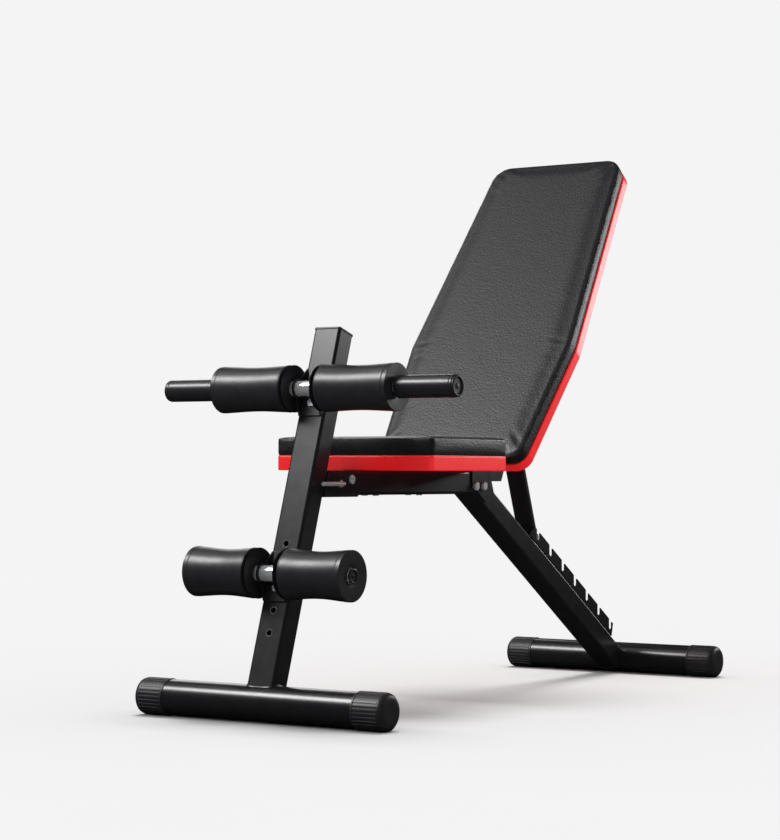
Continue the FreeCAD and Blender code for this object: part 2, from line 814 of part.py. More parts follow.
for side in (1, -1):
    spacer = new_body(f"pivot_spacer_{side_name(side)}", PIVOT)
    ends = sorted((side * (back_tube_side + gap), side * beam_side), key=lambda size: size.value)
    extrude(spacer, "X", *ends,
            circle(pivot_radius + cell("pivot_spacer")), circle(pivot_radius))


# Seat ---------------------------------------------------------------------------------------

def slab(body, bottom, thickness, width, front, length, radius):
    """A level slab with rounded corners in plan."""
    extrude(body, "Z", bottom, bottom + thickness,
            polygon((-width / 2, front), (width / 2, front),
                    (width / 2, front + length), (-width / 2, front + length)))
    dress(body, "PartDesign::Fillet", lambda edge: is_straight_along(edge, Z_WAY), radius)


seat_width = cell("seat_width")
board_thickness = cell("seat_board_thickness")
seat_board = new_body("seat_board", BEAM)
slab(seat_board, beam_half, board_thickness, seat_width, seat_front, seat_length,
     cell("seat_corner"))
for across, along in SEAT_SCREWS:
    cut(seat_board, "Z", beam_half, beam_half + cell("seat_screw_grip"),
        circle(seat_screw_radius, across, along))
seat_cushion = new_body("seat_cushion", BEAM)
slab(seat_cushion, beam_half + board_thickness, cell("seat_cushion_thickness"), seat_width,
     seat_front, seat_length, cell("seat_corner"))

DOWN = Rotation(X_WAY, 180)
one_node("seat_screws", [
    bolt(BEAM, (across, along, 0), DOWN, -beam_half - cell("seat_screw_grip"), beam_half,
         cell("seat_screw_diameter"), cell("screw_head_height")) for across, along in SEAT_SCREWS])


# Front post ---------------------------------------------------------------------------------

post = new_body("front_post", POST)
post_width = cell("post_width")
post_depth = cell("post_depth")
post_length = cell("post_length")
square_tube(post, 0, post_length, post_width, post_depth, corner, wall)
cut(post, "X", -post_width, post_width, circle(foot_radius))

hole_radius = cell("hole_diameter") / 2
bolt_size = cell("joint_bolt_diameter")
lower_axle = cell("lower_axle_along")
upper_axle = post_length - cell("upper_axle_drop")
half_pitch = cell("hole_pitch") / 2
for index in range(POST_HOLES):
    along = cell("hole_first") + index * cell("hole_pitch")
    cut(post, "Z", 0, post_depth, circle(hole_radius, 0, along))
ROLLER_BOLTS = [axle + way * half_pitch for axle in (lower_axle, upper_axle) for way in (-1, 1)]
for along in ROLLER_BOLTS:
    cut(post, "Z", -post_depth, 0, circle(bolt_size / 2, 0, along))
for along in ROLLER_BOLTS[2:]:
    cut(post, "Z", 0, post_depth, circle(bolt_size / 2, 0, along))

post_cap = new_body("post_top_cap", POST)
cap_top = post_length + cell("post_cap_height")
extrude(post_cap, "Y", post_length, cap_top, rounded_rectangle(post_width, post_depth, corner))
extrude(post_cap, "Y", post_length - cell("post_cap_skirt"), post_length,
        rounded_rectangle(post_width - 2 * wall, post_depth - 2 * wall, corner - wall))


# Roller brackets, axles, rollers and grips --------------------------------------------------

plate = cell("bracket_plate")
stand_off = cell("axle_stand_off")
bracket_side = post_width / 2 - cell("bracket_inset")


def roller_bracket(label, axle_along):
    """A channel bolted to the post's face; its two ears hold the axle."""
    body = new_body(label, moved(POST, 0, axle_along, post_front))
    half = cell("bracket_length") / 2
    ear = cell("bracket_ear")
    extrude(body, "X", -bracket_side, bracket_side,
            polygon((-half, 0), (half, 0), (half, plate), (ear, stand_off), (-ear, stand_off),
                    (-half, plate)))
    extrude(body, "X", -bracket_side, bracket_side, circle(ear, 0, stand_off))
    inside = bracket_side - plate
    cut(body, "X", -inside, inside,
        polygon((-half - PAST, plate), (half + PAST, plate),
                (half + PAST, stand_off + 2 * ear), (-half - PAST, stand_off + 2 * ear)))
    cut(body, "X", -post_width, post_width, circle(axle_radius, 0, stand_off))
    for way in (-1, 1):
        cut(body, "Z", 0, plate, circle(bolt_size / 2, 0, way * half_pitch))


AXLES = {"lower": lower_axle, "upper": upper_axle}
for place, along in AXLES.items():
    roller_bracket(f"{place}_roller_bracket", along)

one_node("roller_bracket_bolts", [
    bolt(POST, (0, along, 0), UPRIGHT, -post_front - nut_and_end, post_front + plate,
         bolt_size, low_head) for along in ROLLER_BOLTS])
one_node("roller_bracket_nuts", [
    nut(POST, (0, along, 0), UPRIGHT, -post_front - nut_height, bolt_size, nut_height)
    for along in ROLLER_BOLTS])

axle_bore = axle_radius - cell("axle_wall")
lower_outer = cell("lower_roller_outer")
upper_outer = cell("upper_roller_outer")
grip_inner = cell("grip_inner")
grip_outer = cell("grip_outer")
plug = cell("grip_plug")
plug_depth = cell("plug_depth")
grip_bevel = cell("grip_bevel")
grip_radius = cell("grip_diameter") / 2
AXLE_ENDS = {"lower": lower_outer + gap, "upper": grip_outer}
AXLE_FRAMES = {place: moved(POST, 0, along, post_front + stand_off)
               for place, along in AXLES.items()}
for place, frame in AXLE_FRAMES.items():
    axle = new_body(f"{place}_roller_axle", frame)
    extrude(axle, "X", -AXLE_ENDS[place], AXLE_ENDS[place], circle(axle_radius), circle(axle_bore))


def foam_roller(label, frame, side, outer, diameter, slimmer):
    """A foam sleeve with bevelled ends and a slight waist, free to turn on its axle."""
    body = new_body(label, frame)
    inner = post_width / 2 + cell("roller_clear")
    bore = axle_radius + cell("roller_fit")
    radius = diameter / 2
    bevel = cell("roller_bevel")
    middle = (inner + outer) / 2
    waist = radius - slimmer / 2
    turn(body,
         (side * inner, bore), (side * inner, radius - bevel), (side * (inner + bevel), radius),
         (side * middle, waist),
         (side * (outer - bevel), radius), (side * outer, radius - bevel), (side * outer, bore))


def end_plug(label, frame, side, end, flange_radius):
    """A plastic plug pressed into an axle's end, with a flange that covers the rim."""
    body = new_body(label, frame)
    turn(body,
         (side * (end - plug_depth), 0), (side * (end - plug_depth), axle_bore),
         (side * end, axle_bore),
         (side * end, flange_radius), (side * (end + 0.6 * plug), flange_radius),
         (side * (end + plug), flange_radius - 0.5 * plug), (side * (end + plug), 0))


ROLLERS = {"lower": lower_outer, "upper": upper_outer}
for side in (1, -1):
    for place, outer in ROLLERS.items():
        foam_roller(f"{place}_roller_{side_name(side)}", AXLE_FRAMES[place], side, outer,
                    cell(f"{place}_roller_diameter"), cell(f"{place}_roller_waist"))
    end_plug(f"lower_axle_plug_{side_name(side)}", AXLE_FRAMES["lower"], side,
             AXLE_ENDS["lower"], axle_radius)
    end_plug(f"upper_axle_plug_{side_name(side)}", AXLE_FRAMES["upper"], side,
             AXLE_ENDS["upper"], grip_radius - grip_bevel)
    grip = new_body(f"hand_grip_{side_name(side)}", AXLE_FRAMES["upper"])
    turn(grip,
         (side * grip_inner, axle_radius), (side * grip_inner, grip_radius - grip_bevel),
         (side * (grip_inner + grip_bevel), grip_radius),
         (side * (grip_outer - grip_bevel), grip_radius),
         (side * grip_outer, grip_radius - grip_bevel), (side * grip_outer, axle_radius))


# Fold joint ---------------------------------------------------------------------------------

# The channel welded to the post's rear face; its cheeks straddle the beam.
channel = new_body("post_hinge_channel", FOLD)
fold_rise = beam_centre + fold_up - foot_height
fold_reach = fold_back * cosine(post_tilt) - fold_rise * sine(post_tilt) - post_front
cheek_top = cell("cheek_top")
cheek_bottom = cell("cheek_bottom")
cheek_rear = cell("cheek_rear")
cheek_plate = cell("cheek_plate")
cheek_inside = beam_side + cell("cheek_clear")
cheek_outside = cheek_inside + cheek_plate


def post_face(up, clear=0):
    """Where the post's rear face, or a plane that far behind it, stands at one height."""
    return (up * sine(post_tilt) - fold_reach + clear) / cosine(post_tilt)


lower_bevel = cell("cheek_lower_bevel")
upper_bevel = cell("cheek_upper_bevel")
extrude(channel, "X", -cheek_outside, cheek_outside,
        polygon((post_face(-cheek_bottom), -cheek_bottom),
                (cheek_rear - lower_bevel, -cheek_bottom),
                (cheek_rear, lower_bevel - cheek_bottom), (cheek_rear, cheek_top - upper_bevel),
                (cheek_rear - upper_bevel, cheek_top), (post_face(cheek_top), cheek_top)))
high = cheek_top + PAST
low = -cheek_bottom - PAST
cut(channel, "X", -cheek_inside, cheek_inside,
    polygon((post_face(low, cheek_plate), low), (cheek_rear + PAST, low),
            (cheek_rear + PAST, high), (post_face(high, cheek_plate), high)))
fold_bolt = cell("fold_bolt_diameter")
pin_fit = cell("pivot_fit")
cut(channel, "X", -post_width, post_width, circle(fold_bolt / 2 + pin_fit))
cut(channel, "X", -post_width, post_width, circle(lock_radius + pin_fit, lock_back, lock_up))

fold_out = cheek_outside + gap
one_node("fold_bolt", [
    bolt(FOLD, (0, 0, 0), ACROSS, -fold_out - nut_and_end, fold_out, fold_bolt, low_head)])
one_node("fold_nut", [
    nut(FOLD, (0, 0, 0), ACROSS, -fold_out - nut_height, fold_bolt, nut_height)])

# The lock pin crosses both cheeks under the beam's front end and bends forward into a handle.
lock = new_body("lock_pin", moved(FOLD, 0, lock_back, lock_up))
bend = 2 * lock_radius
collar_end = cheek_outside + cell("lock_collar")
handle_across = collar_end + bend
pin_start = -cheek_outside - cell("lock_end")
profile = new_sketch(lock, "X", pin_start)
circle(lock_radius)(profile)
route = new_sketch(lock, "Z", 0)
straight_end = handle_across - bend
handle_end = -cell("lock_handle")
ROUTE_POINTS = {"start": (pin_start, 0), "straight": (straight_end, 0),
                "turned": (handle_across, -bend), "end": (handle_across, handle_end)}
route.addGeometry(Part.LineSegment(Vector(pin_start.value, 0, 0), Vector(straight_end.value, 0, 0)))
bend_circle = Part.Circle(Vector(straight_end.value, -bend.value, 0), Vector(0, 0, 1), bend.value)
route.addGeometry(Part.ArcOfCircle(bend_circle, 0, math.pi / 2))
route.addGeometry(Part.LineSegment(Vector(handle_across.value, -bend.value, 0),
                                   Vector(handle_across.value, handle_end.value, 0)))
route.addConstraint(Sketcher.Constraint("Tangent", 0, 2, 1, 2))
route.addConstraint(Sketcher.Constraint("Coincident", 1, 1, 2, 1))
pin_point(route, 0, 1, *ROUTE_POINTS["start"])
pin_point(route, 0, 2, *ROUTE_POINTS["straight"])
pin_point(route, 2, 1, *ROUTE_POINTS["turned"])
pin_point(route, 2, 2, *ROUTE_POINTS["end"])
pipe = lock.newObject("PartDesign::AdditivePipe", "lock_pipe")
pipe.Profile = profile
pipe.Spine = (route, ["Edge1", "Edge2", "Edge3"])
doc.recompute()
extrude(lock, "X", cheek_outside + gap, collar_end,
        circle(lock_radius + cell("lock_collar_step")))


# Backrest -----------------------------------------------------------------------------------

back_tube_width = 2 * back_tube_side
back_tube_depth = cell("back_tube_depth")
back_tube_length = cell("back_tube_length")
strut_bolt = cell("strut_bolt_diameter")
strut_along = cell("strut_pivot_along")
cross_plate = cell("cross_plate")
board_face = tube_half + cross_plate
back_overhang = cell("back_overhang")
back_board_thickness = cell("back_board_thickness")
CROSS_PLATES = {"lower": cell("cross_plate_lower"), "upper": cell("cross_plate_upper")}
cross_screw = cell("seat_screw_diameter")
cross_screw_across = cell("cross_screw_across")

back_tube = new_body("back_tube", BACK)
square_tube(back_tube, 0, back_tube_length, back_tube_width, back_tube_depth, corner, wall)
extrude(back_tube, "X", -back_tube_side, back_tube_side, circle(tube_half))
cut(back_tube, "X", -post_width, post_width, circle(pivot_radius + pin_fit))
cut(back_tube, "X", -post_width, post_width, circle(strut_bolt / 2, strut_along, 0))

tube_cap = new_body("back_tube_cap", BACK)
extrude(tube_cap, "Y", back_tube_length, back_tube_length + cell("back_tube_cap"),
        rounded_rectangle(back_tube_width, back_tube_depth, corner))
extrude(tube_cap, "Y", back_tube_length - cell("back_tube_cap_skirt"), back_tube_length,
        rounded_rectangle(back_tube_width - 2 * wall, back_tube_depth - 2 * wall, corner - wall))

half_plate = cell("cross_plate_width") / 2
half_span = cell("cross_plate_length") / 2
for place, along in CROSS_PLATES.items():
    strap = new_body(f"back_cross_plate_{place}", moved(BACK, 0, along, tube_half))
    extrude(strap, "Z", 0, cross_plate,
            polygon((-half_span, -half_plate), (half_span, -half_plate),
                    (half_span, half_plate), (-half_span, half_plate)))
    dress(strap, "PartDesign::Fillet", lambda edge: is_straight_along(edge, Z_WAY),
          cell("cross_plate_corner"))
    for side in (1, -1):
        cut(strap, "Z", 0, cross_plate, circle(cross_screw / 2, side * cross_screw_across, 0))


def corner_edges(y_low, y_high):
    """Chooser for the upright edges of a slab whose place along the back lies in a range."""
    def chosen(edge):
        if not is_straight_along(edge, Z_WAY):
            return False
        return y_low < edge.Vertexes[0].Point.y < y_high
    return chosen


def back_slab(body, bottom, thickness):
    """The backrest's outline: narrow at the foot, widest a third of the way up, narrow on top."""
    low = -back_overhang
    widest = cell("back_widest_along")
    high = cell("back_length") - back_overhang
    half_bottom = cell("back_width_bottom") / 2
    half_widest = cell("back_width_widest") / 2
    half_top = cell("back_width_top") / 2
    extrude(body, "Z", bottom, bottom + thickness,
            polygon((-half_bottom, low), (half_bottom, low), (half_widest, widest),
                    (half_top, high), (-half_top, high), (-half_widest, widest)))
    midway = widest.value / 2
    above = (widest.value + high.value) / 2
    ranges = ((low.value - 1, midway, "back_corner_bottom"), (midway, above, "back_corner_side"),
              (above, high.value + 1, "back_corner_top"))
    for y_low, y_high, radius in ranges:
        dress(body, "PartDesign::Fillet", corner_edges(y_low, y_high), cell(radius))


back_board = new_body("back_board", BACK)
back_slab(back_board, board_face, back_board_thickness)


def lower_rear_edge(edge):
    """The long edge across the bottom of the board, on the tube's side."""
    if not is_straight_along(edge, X_WAY):
        return False
    spot = edge.Vertexes[0].Point
    at_bottom = abs(spot.y + back_overhang.value) < 0.01
    return at_bottom and abs(spot.z - board_face.value) < 0.01


dress(back_board, "PartDesign::Chamfer", lower_rear_edge, cell("back_edge_bevel"))
screw_grip = cell("cross_screw_grip")
for along in CROSS_PLATES.values():
    for side in (1, -1):
        cut(back_board, "Z", board_face, board_face + screw_grip,
            circle(cross_screw / 2, side * cross_screw_across, along))
back_cushion = new_body("back_cushion", BACK)
back_slab(back_cushion, board_face + back_board_thickness, cell("back_cushion_thickness"))

one_node("back_screws", [
    bolt(BACK, (side * cross_screw_across, along, 0), DOWN, -board_face - screw_grip, -tube_half,
         cross_screw, low_head)
    for along in CROSS_PLATES.values() for side in (1, -1)])


# Strut --------------------------------------------------------------------------------------

strut_half = cell("strut_depth") / 2
strut = new_body("strut", STRUT)
fork = cell("strut_fork")
foot_distance = strut_way.Length
extrude(strut, "Y", 0, foot_distance,
        rounded_rectangle(2 * strut_side, 2 * strut_half, strut_half - cell("strut_flat")))
cut(strut, "Y", fork, foot_distance - cell("strut_solid"),
    rounded_rectangle(2 * (strut_side - strut_wall), 2 * (strut_half - strut_wall / 2),
                      strut_half - strut_wall))
extrude(strut, "X", -strut_side, strut_side, circle(strut_half, 0, 0),
        circle(strut_half, foot_distance, 0))
fork_inside = strut_side - strut_wall
beyond = strut_half + PAST
cut(strut, "X", -fork_inside, fork_inside,
    polygon((-beyond, -beyond), (fork, -beyond), (fork, beyond), (-beyond, beyond)))
cut(strut, "X", -post_width, post_width, circle(strut_bolt / 2 + pin_fit))
pin_radius = cell("strut_pin_diameter") / 2
cut(strut, "X", -post_width, post_width, circle(pin_radius, foot_distance, 0))

strut_pin = new_body("strut_foot_pin", moved(STRUT, 0, foot_distance, 0))
pin_half = beam_side - cell("rack_plate") - cell("strut_pin_short") / 2
extrude(strut_pin, "X", -pin_half, pin_half, circle(pin_radius))

strut_out = strut_side + gap
low_nut = cell("low_nut_height")
one_node("strut_pivot_bolt", [
    bolt(BACK, (0, strut_along, 0), ACROSS, -strut_out - low_nut - cell("bolt_past_nut"),
         strut_out, strut_bolt, low_head)])
one_node("strut_pivot_nut", [
    nut(BACK, (0, strut_along, 0), ACROSS, -strut_out - low_nut, strut_bolt, low_nut)])


# Check and write ----------------------------------------------------------------------------

doc.recompute()
failed = [thing.Label for thing in doc.Objects
          if "Invalid" in thing.State or "Error" in thing.State]
if failed:
    raise RuntimeError(f"objects that did not compute: {failed}")
for part in PARTS:
    if part.Shape.isNull() or not part.Shape.isValid() or not part.Shape.Solids:
        raise RuntimeError(f"{part.Label}: no valid solid")
os.makedirs("parts", exist_ok=True)
for part in PARTS:
    part.Shape.exportStep(f"parts/{part.Label}.step")
print(f"{len(PARTS)} sub-parts written")
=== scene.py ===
import json
import math

import bmesh
import bpy
from bpy.props import FloatProperty, FloatVectorProperty, IntProperty, PointerProperty
from mathutils import Matrix, Vector

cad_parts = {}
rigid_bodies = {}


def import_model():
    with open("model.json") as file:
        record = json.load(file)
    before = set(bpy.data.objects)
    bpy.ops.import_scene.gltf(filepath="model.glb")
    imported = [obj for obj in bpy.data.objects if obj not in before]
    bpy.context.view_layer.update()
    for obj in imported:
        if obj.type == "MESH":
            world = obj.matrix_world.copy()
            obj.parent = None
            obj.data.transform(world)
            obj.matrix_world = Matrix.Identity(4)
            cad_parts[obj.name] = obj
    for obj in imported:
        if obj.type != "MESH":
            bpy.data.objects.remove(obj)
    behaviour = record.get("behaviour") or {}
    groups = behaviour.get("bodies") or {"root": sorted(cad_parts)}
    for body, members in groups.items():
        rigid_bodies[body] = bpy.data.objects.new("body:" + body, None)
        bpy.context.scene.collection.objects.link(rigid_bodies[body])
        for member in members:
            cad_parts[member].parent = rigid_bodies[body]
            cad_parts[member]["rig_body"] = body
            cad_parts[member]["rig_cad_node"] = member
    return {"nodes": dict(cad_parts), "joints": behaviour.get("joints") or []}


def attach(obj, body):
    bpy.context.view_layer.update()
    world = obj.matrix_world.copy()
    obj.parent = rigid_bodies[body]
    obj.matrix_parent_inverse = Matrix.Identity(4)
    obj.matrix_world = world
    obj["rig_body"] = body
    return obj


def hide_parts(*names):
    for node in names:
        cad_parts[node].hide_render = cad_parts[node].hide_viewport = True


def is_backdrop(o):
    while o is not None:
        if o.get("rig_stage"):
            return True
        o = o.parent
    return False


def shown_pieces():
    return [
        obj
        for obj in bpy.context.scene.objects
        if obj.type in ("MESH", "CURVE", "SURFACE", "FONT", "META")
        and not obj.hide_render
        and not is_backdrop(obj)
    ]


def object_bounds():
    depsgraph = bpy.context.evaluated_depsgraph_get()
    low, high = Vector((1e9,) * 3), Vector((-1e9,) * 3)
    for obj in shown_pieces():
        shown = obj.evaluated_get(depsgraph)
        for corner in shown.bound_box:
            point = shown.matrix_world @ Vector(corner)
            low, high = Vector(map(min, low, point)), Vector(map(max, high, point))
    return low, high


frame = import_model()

bl_info = {
    "name": "Sit-up bench finish",
    "version": (1, 0, 0),
    "blender": (4, 5, 0),
    "location": "View3D > Sidebar > Bench",
    "description": "Upholstery, foam, plastic and metal finish for a folding sit-up bench",
    "category": "Object",
}

CAD_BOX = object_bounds()
MM = 0.001
QUARTER = math.pi / 2
NEAR_AXIS = 0.01 * MM  # the smallest ring of a turned piece, which closes its end
SIDES = {"right": 1, "left": -1}


# Places, read from the frame ----------------------------------------------------------------

def joint_place(name):
    """Where a joint of the bench is."""
    return Vector(next(j["pos_m"] for j in frame["joints"] if j["name"] == name))


def tilted(origin, along):
    """A frame with X across the bench, Y along a tube and Z out of the tube's front face."""
    across = Vector((1, 0, 0))
    along = along.normalized()
    matrix = Matrix((across, along, across.cross(along))).transposed().to_4x4()
    matrix.translation = origin
    return matrix


def extents(node, place=Matrix()):
    """Lowest and highest corner of a CAD part, measured in a tilted frame."""
    inverse = place.inverted()
    points = [inverse @ vertex.co for vertex in frame["nodes"][node].data.vertices]
    low, high = (Vector(pick(p[i] for p in points) for i in range(3)) for pick in (min, max))
    return low, high


def middle_of(node, place=Matrix()):
    """The middle of a CAD part's box, measured in a tilted frame."""
    low, high = extents(node, place)
    return (low + high) / 2


def radius_of(node):
    """The radius of a round CAD part that lies across the bench."""
    low, high = extents(node)
    return (high.z - low.z) / 2


def reach(node, side, place=Matrix()):
    """How far out from the bench's middle a CAD part on one side begins and ends."""
    low, high = extents(node, place)
    return sorted((side * low.x, side * high.x))


def slope_of(node):
    """The direction of a tube that slopes down to the rear: seen along it, it is slimmest."""
    points = [vertex.co for vertex in frame["nodes"][node].data.vertices]

    def depth(angle):
        rises = [p.y * math.sin(angle) + p.z * math.cos(angle) for p in points]
        return max(rises) - min(rises)

    per_degree = 20
    steps = range(90 * per_degree + 1)
    angle = min((math.radians(step / per_degree) for step in steps), key=depth)
    return Vector((0, math.cos(angle), -math.sin(angle)))


LOWER_AXLE = joint_place("lower_roller_right_spin")
UPPER_AXLE = joint_place("upper_roller_right_spin")
POST = tilted(LOWER_AXLE, UPPER_AXLE - LOWER_AXLE)
BACK_PIVOT = joint_place("backrest_recline")
BACK = tilted(BACK_PIVOT, joint_place("strut_swing") - BACK_PIVOT)
LEG = tilted(Vector(), slope_of("rear_leg"))


# Mesh tools ---------------------------------------------------------------------------------

def deselect():
    """Leave edit mode and select nothing."""
    if bpy.context.mode != "OBJECT":
        bpy.ops.object.mode_set(mode="OBJECT")
    bpy.ops.object.select_all(action="DESELECT")


def take(piece):
    """Make one piece the active and only selected one."""
    deselect()
    piece.select_set(True)
    bpy.context.view_layer.objects.active = piece


def start(name, primitive, **settings):
    """Add a primitive as the start of a piece and open it in edit mode, all of it selected."""
    deselect()
    primitive(**settings)
    piece = bpy.context.object
    piece.name = name
    piece.data.name = name
    bpy.ops.object.mode_set(mode="EDIT")
    bpy.ops.mesh.select_mode(type="VERT")
    bpy.ops.mesh.select_all(action="SELECT")
    return piece


def choose(kind, test):
    """Select the vertices, edges or faces of the open mesh that pass a test."""
    bpy.ops.mesh.select_mode(type={"verts": "VERT", "edges": "EDGE", "faces": "FACE"}[kind])
    bpy.ops.mesh.select_all(action="DESELECT")
    mesh = bmesh.from_edit_mesh(bpy.context.object.data)
    for item in getattr(mesh, kind):
        if test(item):
            item.select_set(True)
    mesh.select_flush_mode()
    bmesh.update_edit_mesh(bpy.context.object.data)


def close(piece):
    """Leave edit mode with doubles merged and all faces pointing outwards."""
    bpy.ops.mesh.select_all(action="SELECT")
    bpy.ops.mesh.remove_doubles(threshold=0.01 * MM)
    bpy.ops.mesh.normals_make_consistent(inside=False)
    bpy.ops.object.mode_set(mode="OBJECT")
    return piece


def modify(piece, kind, **settings):
    """Add a modifier with its settings and apply it."""
    take(piece)
    modifier = piece.modifiers.new(kind.title(), kind)
    for key, value in settings.items():
        setattr(modifier, key, value)
    bpy.ops.object.modifier_apply(modifier=modifier.name)
    return piece


def soften(piece, width, segments=3, angle=40):
    """Round a piece's sharp edges."""
    return modify(piece, "BEVEL", width=width, segments=segments, limit_method="ANGLE",
                  angle_limit=math.radians(angle), use_clamp_overlap=True)


def settle(piece, place, material, body, slot, *replaced):
    """Put a finished piece in its place on its body, with its material."""
    take(piece)
    piece.matrix_world = place @ piece.matrix_world
    bpy.ops.object.transform_apply(location=True, rotation=True, scale=True)
    bpy.ops.object.shade_smooth_by_angle(angle=math.radians(35))
    modify(piece, "WEIGHTED_NORMAL", keep_sharp=True, weight=100)
    piece.data.materials.clear()
    piece.data.materials.append(material)
    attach(piece, body)
    if replaced:
        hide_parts(*replaced)
    return piece


def turned(name, stations, segments=72):
    """A shape of revolution about X, drawn as a ring that is extruded from station to station."""
    x, radius = stations[0]
    piece = start(name, bpy.ops.mesh.primitive_circle_add, vertices=segments, radius=radius,
                  location=(x, 0, 0), rotation=(0, QUARTER, 0))
    for next_x, next_radius in stations[1:]:
        bpy.ops.mesh.extrude_region_move(TRANSFORM_OT_translate={"value": (next_x - x, 0, 0)})
        if next_radius != radius:
            share = next_radius / radius
            bpy.ops.transform.resize(value=(1, share, share), center_override=(next_x, 0, 0))
        x, radius = next_x, next_radius
    close(piece)
    bpy.ops.object.transform_apply(location=True, rotation=True, scale=True)
    return piece


def turn_round(piece):
    """Turn a piece that was made on the right so that it fits the left."""
    take(piece)
    bpy.ops.object.mode_set(mode="EDIT")
    bpy.ops.mesh.select_all(action="SELECT")
    bpy.ops.transform.rotate(value=math.pi, orient_axis="Z", center_override=(0, 0, 0))
    bpy.ops.object.mode_set(mode="OBJECT")


def cord(name, path, thickness, ripple=0):
    """A round cord along a closed path. A ripple makes it swell and narrow from point to point."""
    piece = start(name, bpy.ops.mesh.primitive_circle_add, vertices=len(path), radius=1)
    mesh = bmesh.from_edit_mesh(piece.data)
    mesh.verts.ensure_lookup_table()
    for vertex, point in zip(mesh.verts, path):
        vertex.co = point
    bmesh.update_edit_mesh(piece.data)
    bpy.ops.object.mode_set(mode="OBJECT")
    bpy.ops.object.convert(target="CURVE")
    curve = bpy.context.object.data
    curve.bevel_depth = thickness / 2
    curve.bevel_resolution = 3
    for number, point in enumerate(curve.splines[0].points):
        point.radius = 1 + ripple * (number % 2)
    bpy.ops.object.convert(target="MESH")
    return bpy.context.object


# Materials ----------------------------------------------------------------------------------

def linear(hex_colour):
    """An sRGB hex colour as linear red, green, blue and alpha."""
    shares = [int(hex_colour[i:i + 2], 16) / 255 for i in (1, 3, 5)]
    return (*(s / 12.92 if s <= 0.04045 else ((s + 0.055) / 1.055) ** 2.4 for s in shares), 1)


def add(tree, kind, settings=(), links=()):
    """Add a node, give it its settings and link its sockets from (node, output) pairs."""
    node = tree.nodes.new(kind)
    for key, value in dict(settings).items():
        if isinstance(key, int) or key in node.inputs:
            node.inputs[key].default_value = value
        else:
            setattr(node, key, value)
    for key, (source, output) in dict(links).items():
        tree.links.new(source.outputs[output], node.inputs[key])
    return node


def new_material(name):
    """An empty material: its tree and its Object coordinates."""
    material = bpy.data.materials.new(name)
    material.use_nodes = True
    tree = material.node_tree
    tree.nodes.clear()
    return material, tree, add(tree, "ShaderNodeTexCoord")


def per_mm(size):
    """The scale of a pattern whose features are this many millimetres across."""
    return 1 / (size * MM)


def mottled(tree, coordinates, dark, light, size, detail=3):
    """A noise pattern, its features a size in mm across, and the two colours that it blends."""
    noise = add(tree, "ShaderNodeTexNoise", {"Scale": per_mm(size), "Detail": detail},
                {"Vector": (coordinates, "Object")})
    colour = add(tree, "ShaderNodeMix", {"data_type": "RGBA", 6: linear(dark), 7: linear(light)},
                 {0: (noise, "Fac")})
    return noise, colour


def finish(tree, noise, rough, spread, settings, links):
    """The surface shader, with a roughness that follows a pattern, and the output."""
    roughness = add(tree, "ShaderNodeMapRange",
                    {"To Min": rough - spread, "To Max": rough + spread}, {"Value": (noise, "Fac")})
    shader = add(tree, "ShaderNodeBsdfPrincipled", settings,
                 {"Roughness": (roughness, "Result"), **links})
    add(tree, "ShaderNodeOutputMaterial", links={"Surface": (shader, "BSDF")})


def coated_steel(name, dark, light, rough, peel):
    """Steel tube with a baked coat: the peel of the coat is a soft ripple a few mm across."""
    material, tree, coordinates = new_material(name)
    noise, colour = mottled(tree, coordinates, dark, light, size=18)
    ripple = add(tree, "ShaderNodeTexNoise", {"Scale": per_mm(2.4), "Detail": 2},
                 {"Vector": (coordinates, "Object")})
    bump = add(tree, "ShaderNodeBump", {"Strength": peel, "Distance": 0.12 * MM},
               {"Height": (ripple, "Fac")})
    finish(tree, noise, rough, 0.04, {"IOR": 1.5},
           {"Base Color": (colour, 2), "Normal": (bump, "Normal")})
    return material


def moulded_plastic(name, dark, light, rough, grain):
    """Injection-moulded polypropylene: the mould's spark-eroded grain leaves a fine satin."""
    material, tree, coordinates = new_material(name)
    noise, colour = mottled(tree, coordinates, dark, light, size=9)
    pits = add(tree, "ShaderNodeTexVoronoi", {"Scale": per_mm(grain)},
               {"Vector": (coordinates, "Object")})
    bump = add(tree, "ShaderNodeBump", {"Strength": 0.25, "Distance": 0.05 * MM},
               {"Height": (pits, "Distance")})
    finish(tree, noise, rough, 0.05, {"IOR": 1.49},
           {"Base Color": (colour, 2), "Normal": (bump, "Normal")})
    return material


def skinned_foam(name, dark, light, rough):
    """Closed-cell foam with a moulded skin: satin, with shallow pores and soft waves."""
    material, tree, coordinates = new_material(name)
    noise, colour = mottled(tree, coordinates, dark, light, size=14)
    pores = add(tree, "ShaderNodeTexVoronoi", {"Scale": per_mm(1.6), "Randomness": 1},
                {"Vector": (coordinates, "Object")})
    waves = add(tree, "ShaderNodeTexNoise", {"Scale": per_mm(30), "Detail": 2},
                {"Vector": (coordinates, "Object")})
    soft = add(tree, "ShaderNodeBump", {"Strength": 0.35, "Distance": 1.2 * MM},
               {"Height": (waves, "Fac")})
    bump = add(tree, "ShaderNodeBump", {"Strength": 0.2, "Distance": 0.08 * MM},
               {"Height": (pores, "Distance"), "Normal": (soft, "Normal")})
    finish(tree, noise, rough, 0.05, {"IOR": 1.5},
           {"Base Color": (colour, 2), "Normal": (bump, "Normal")})
    return material


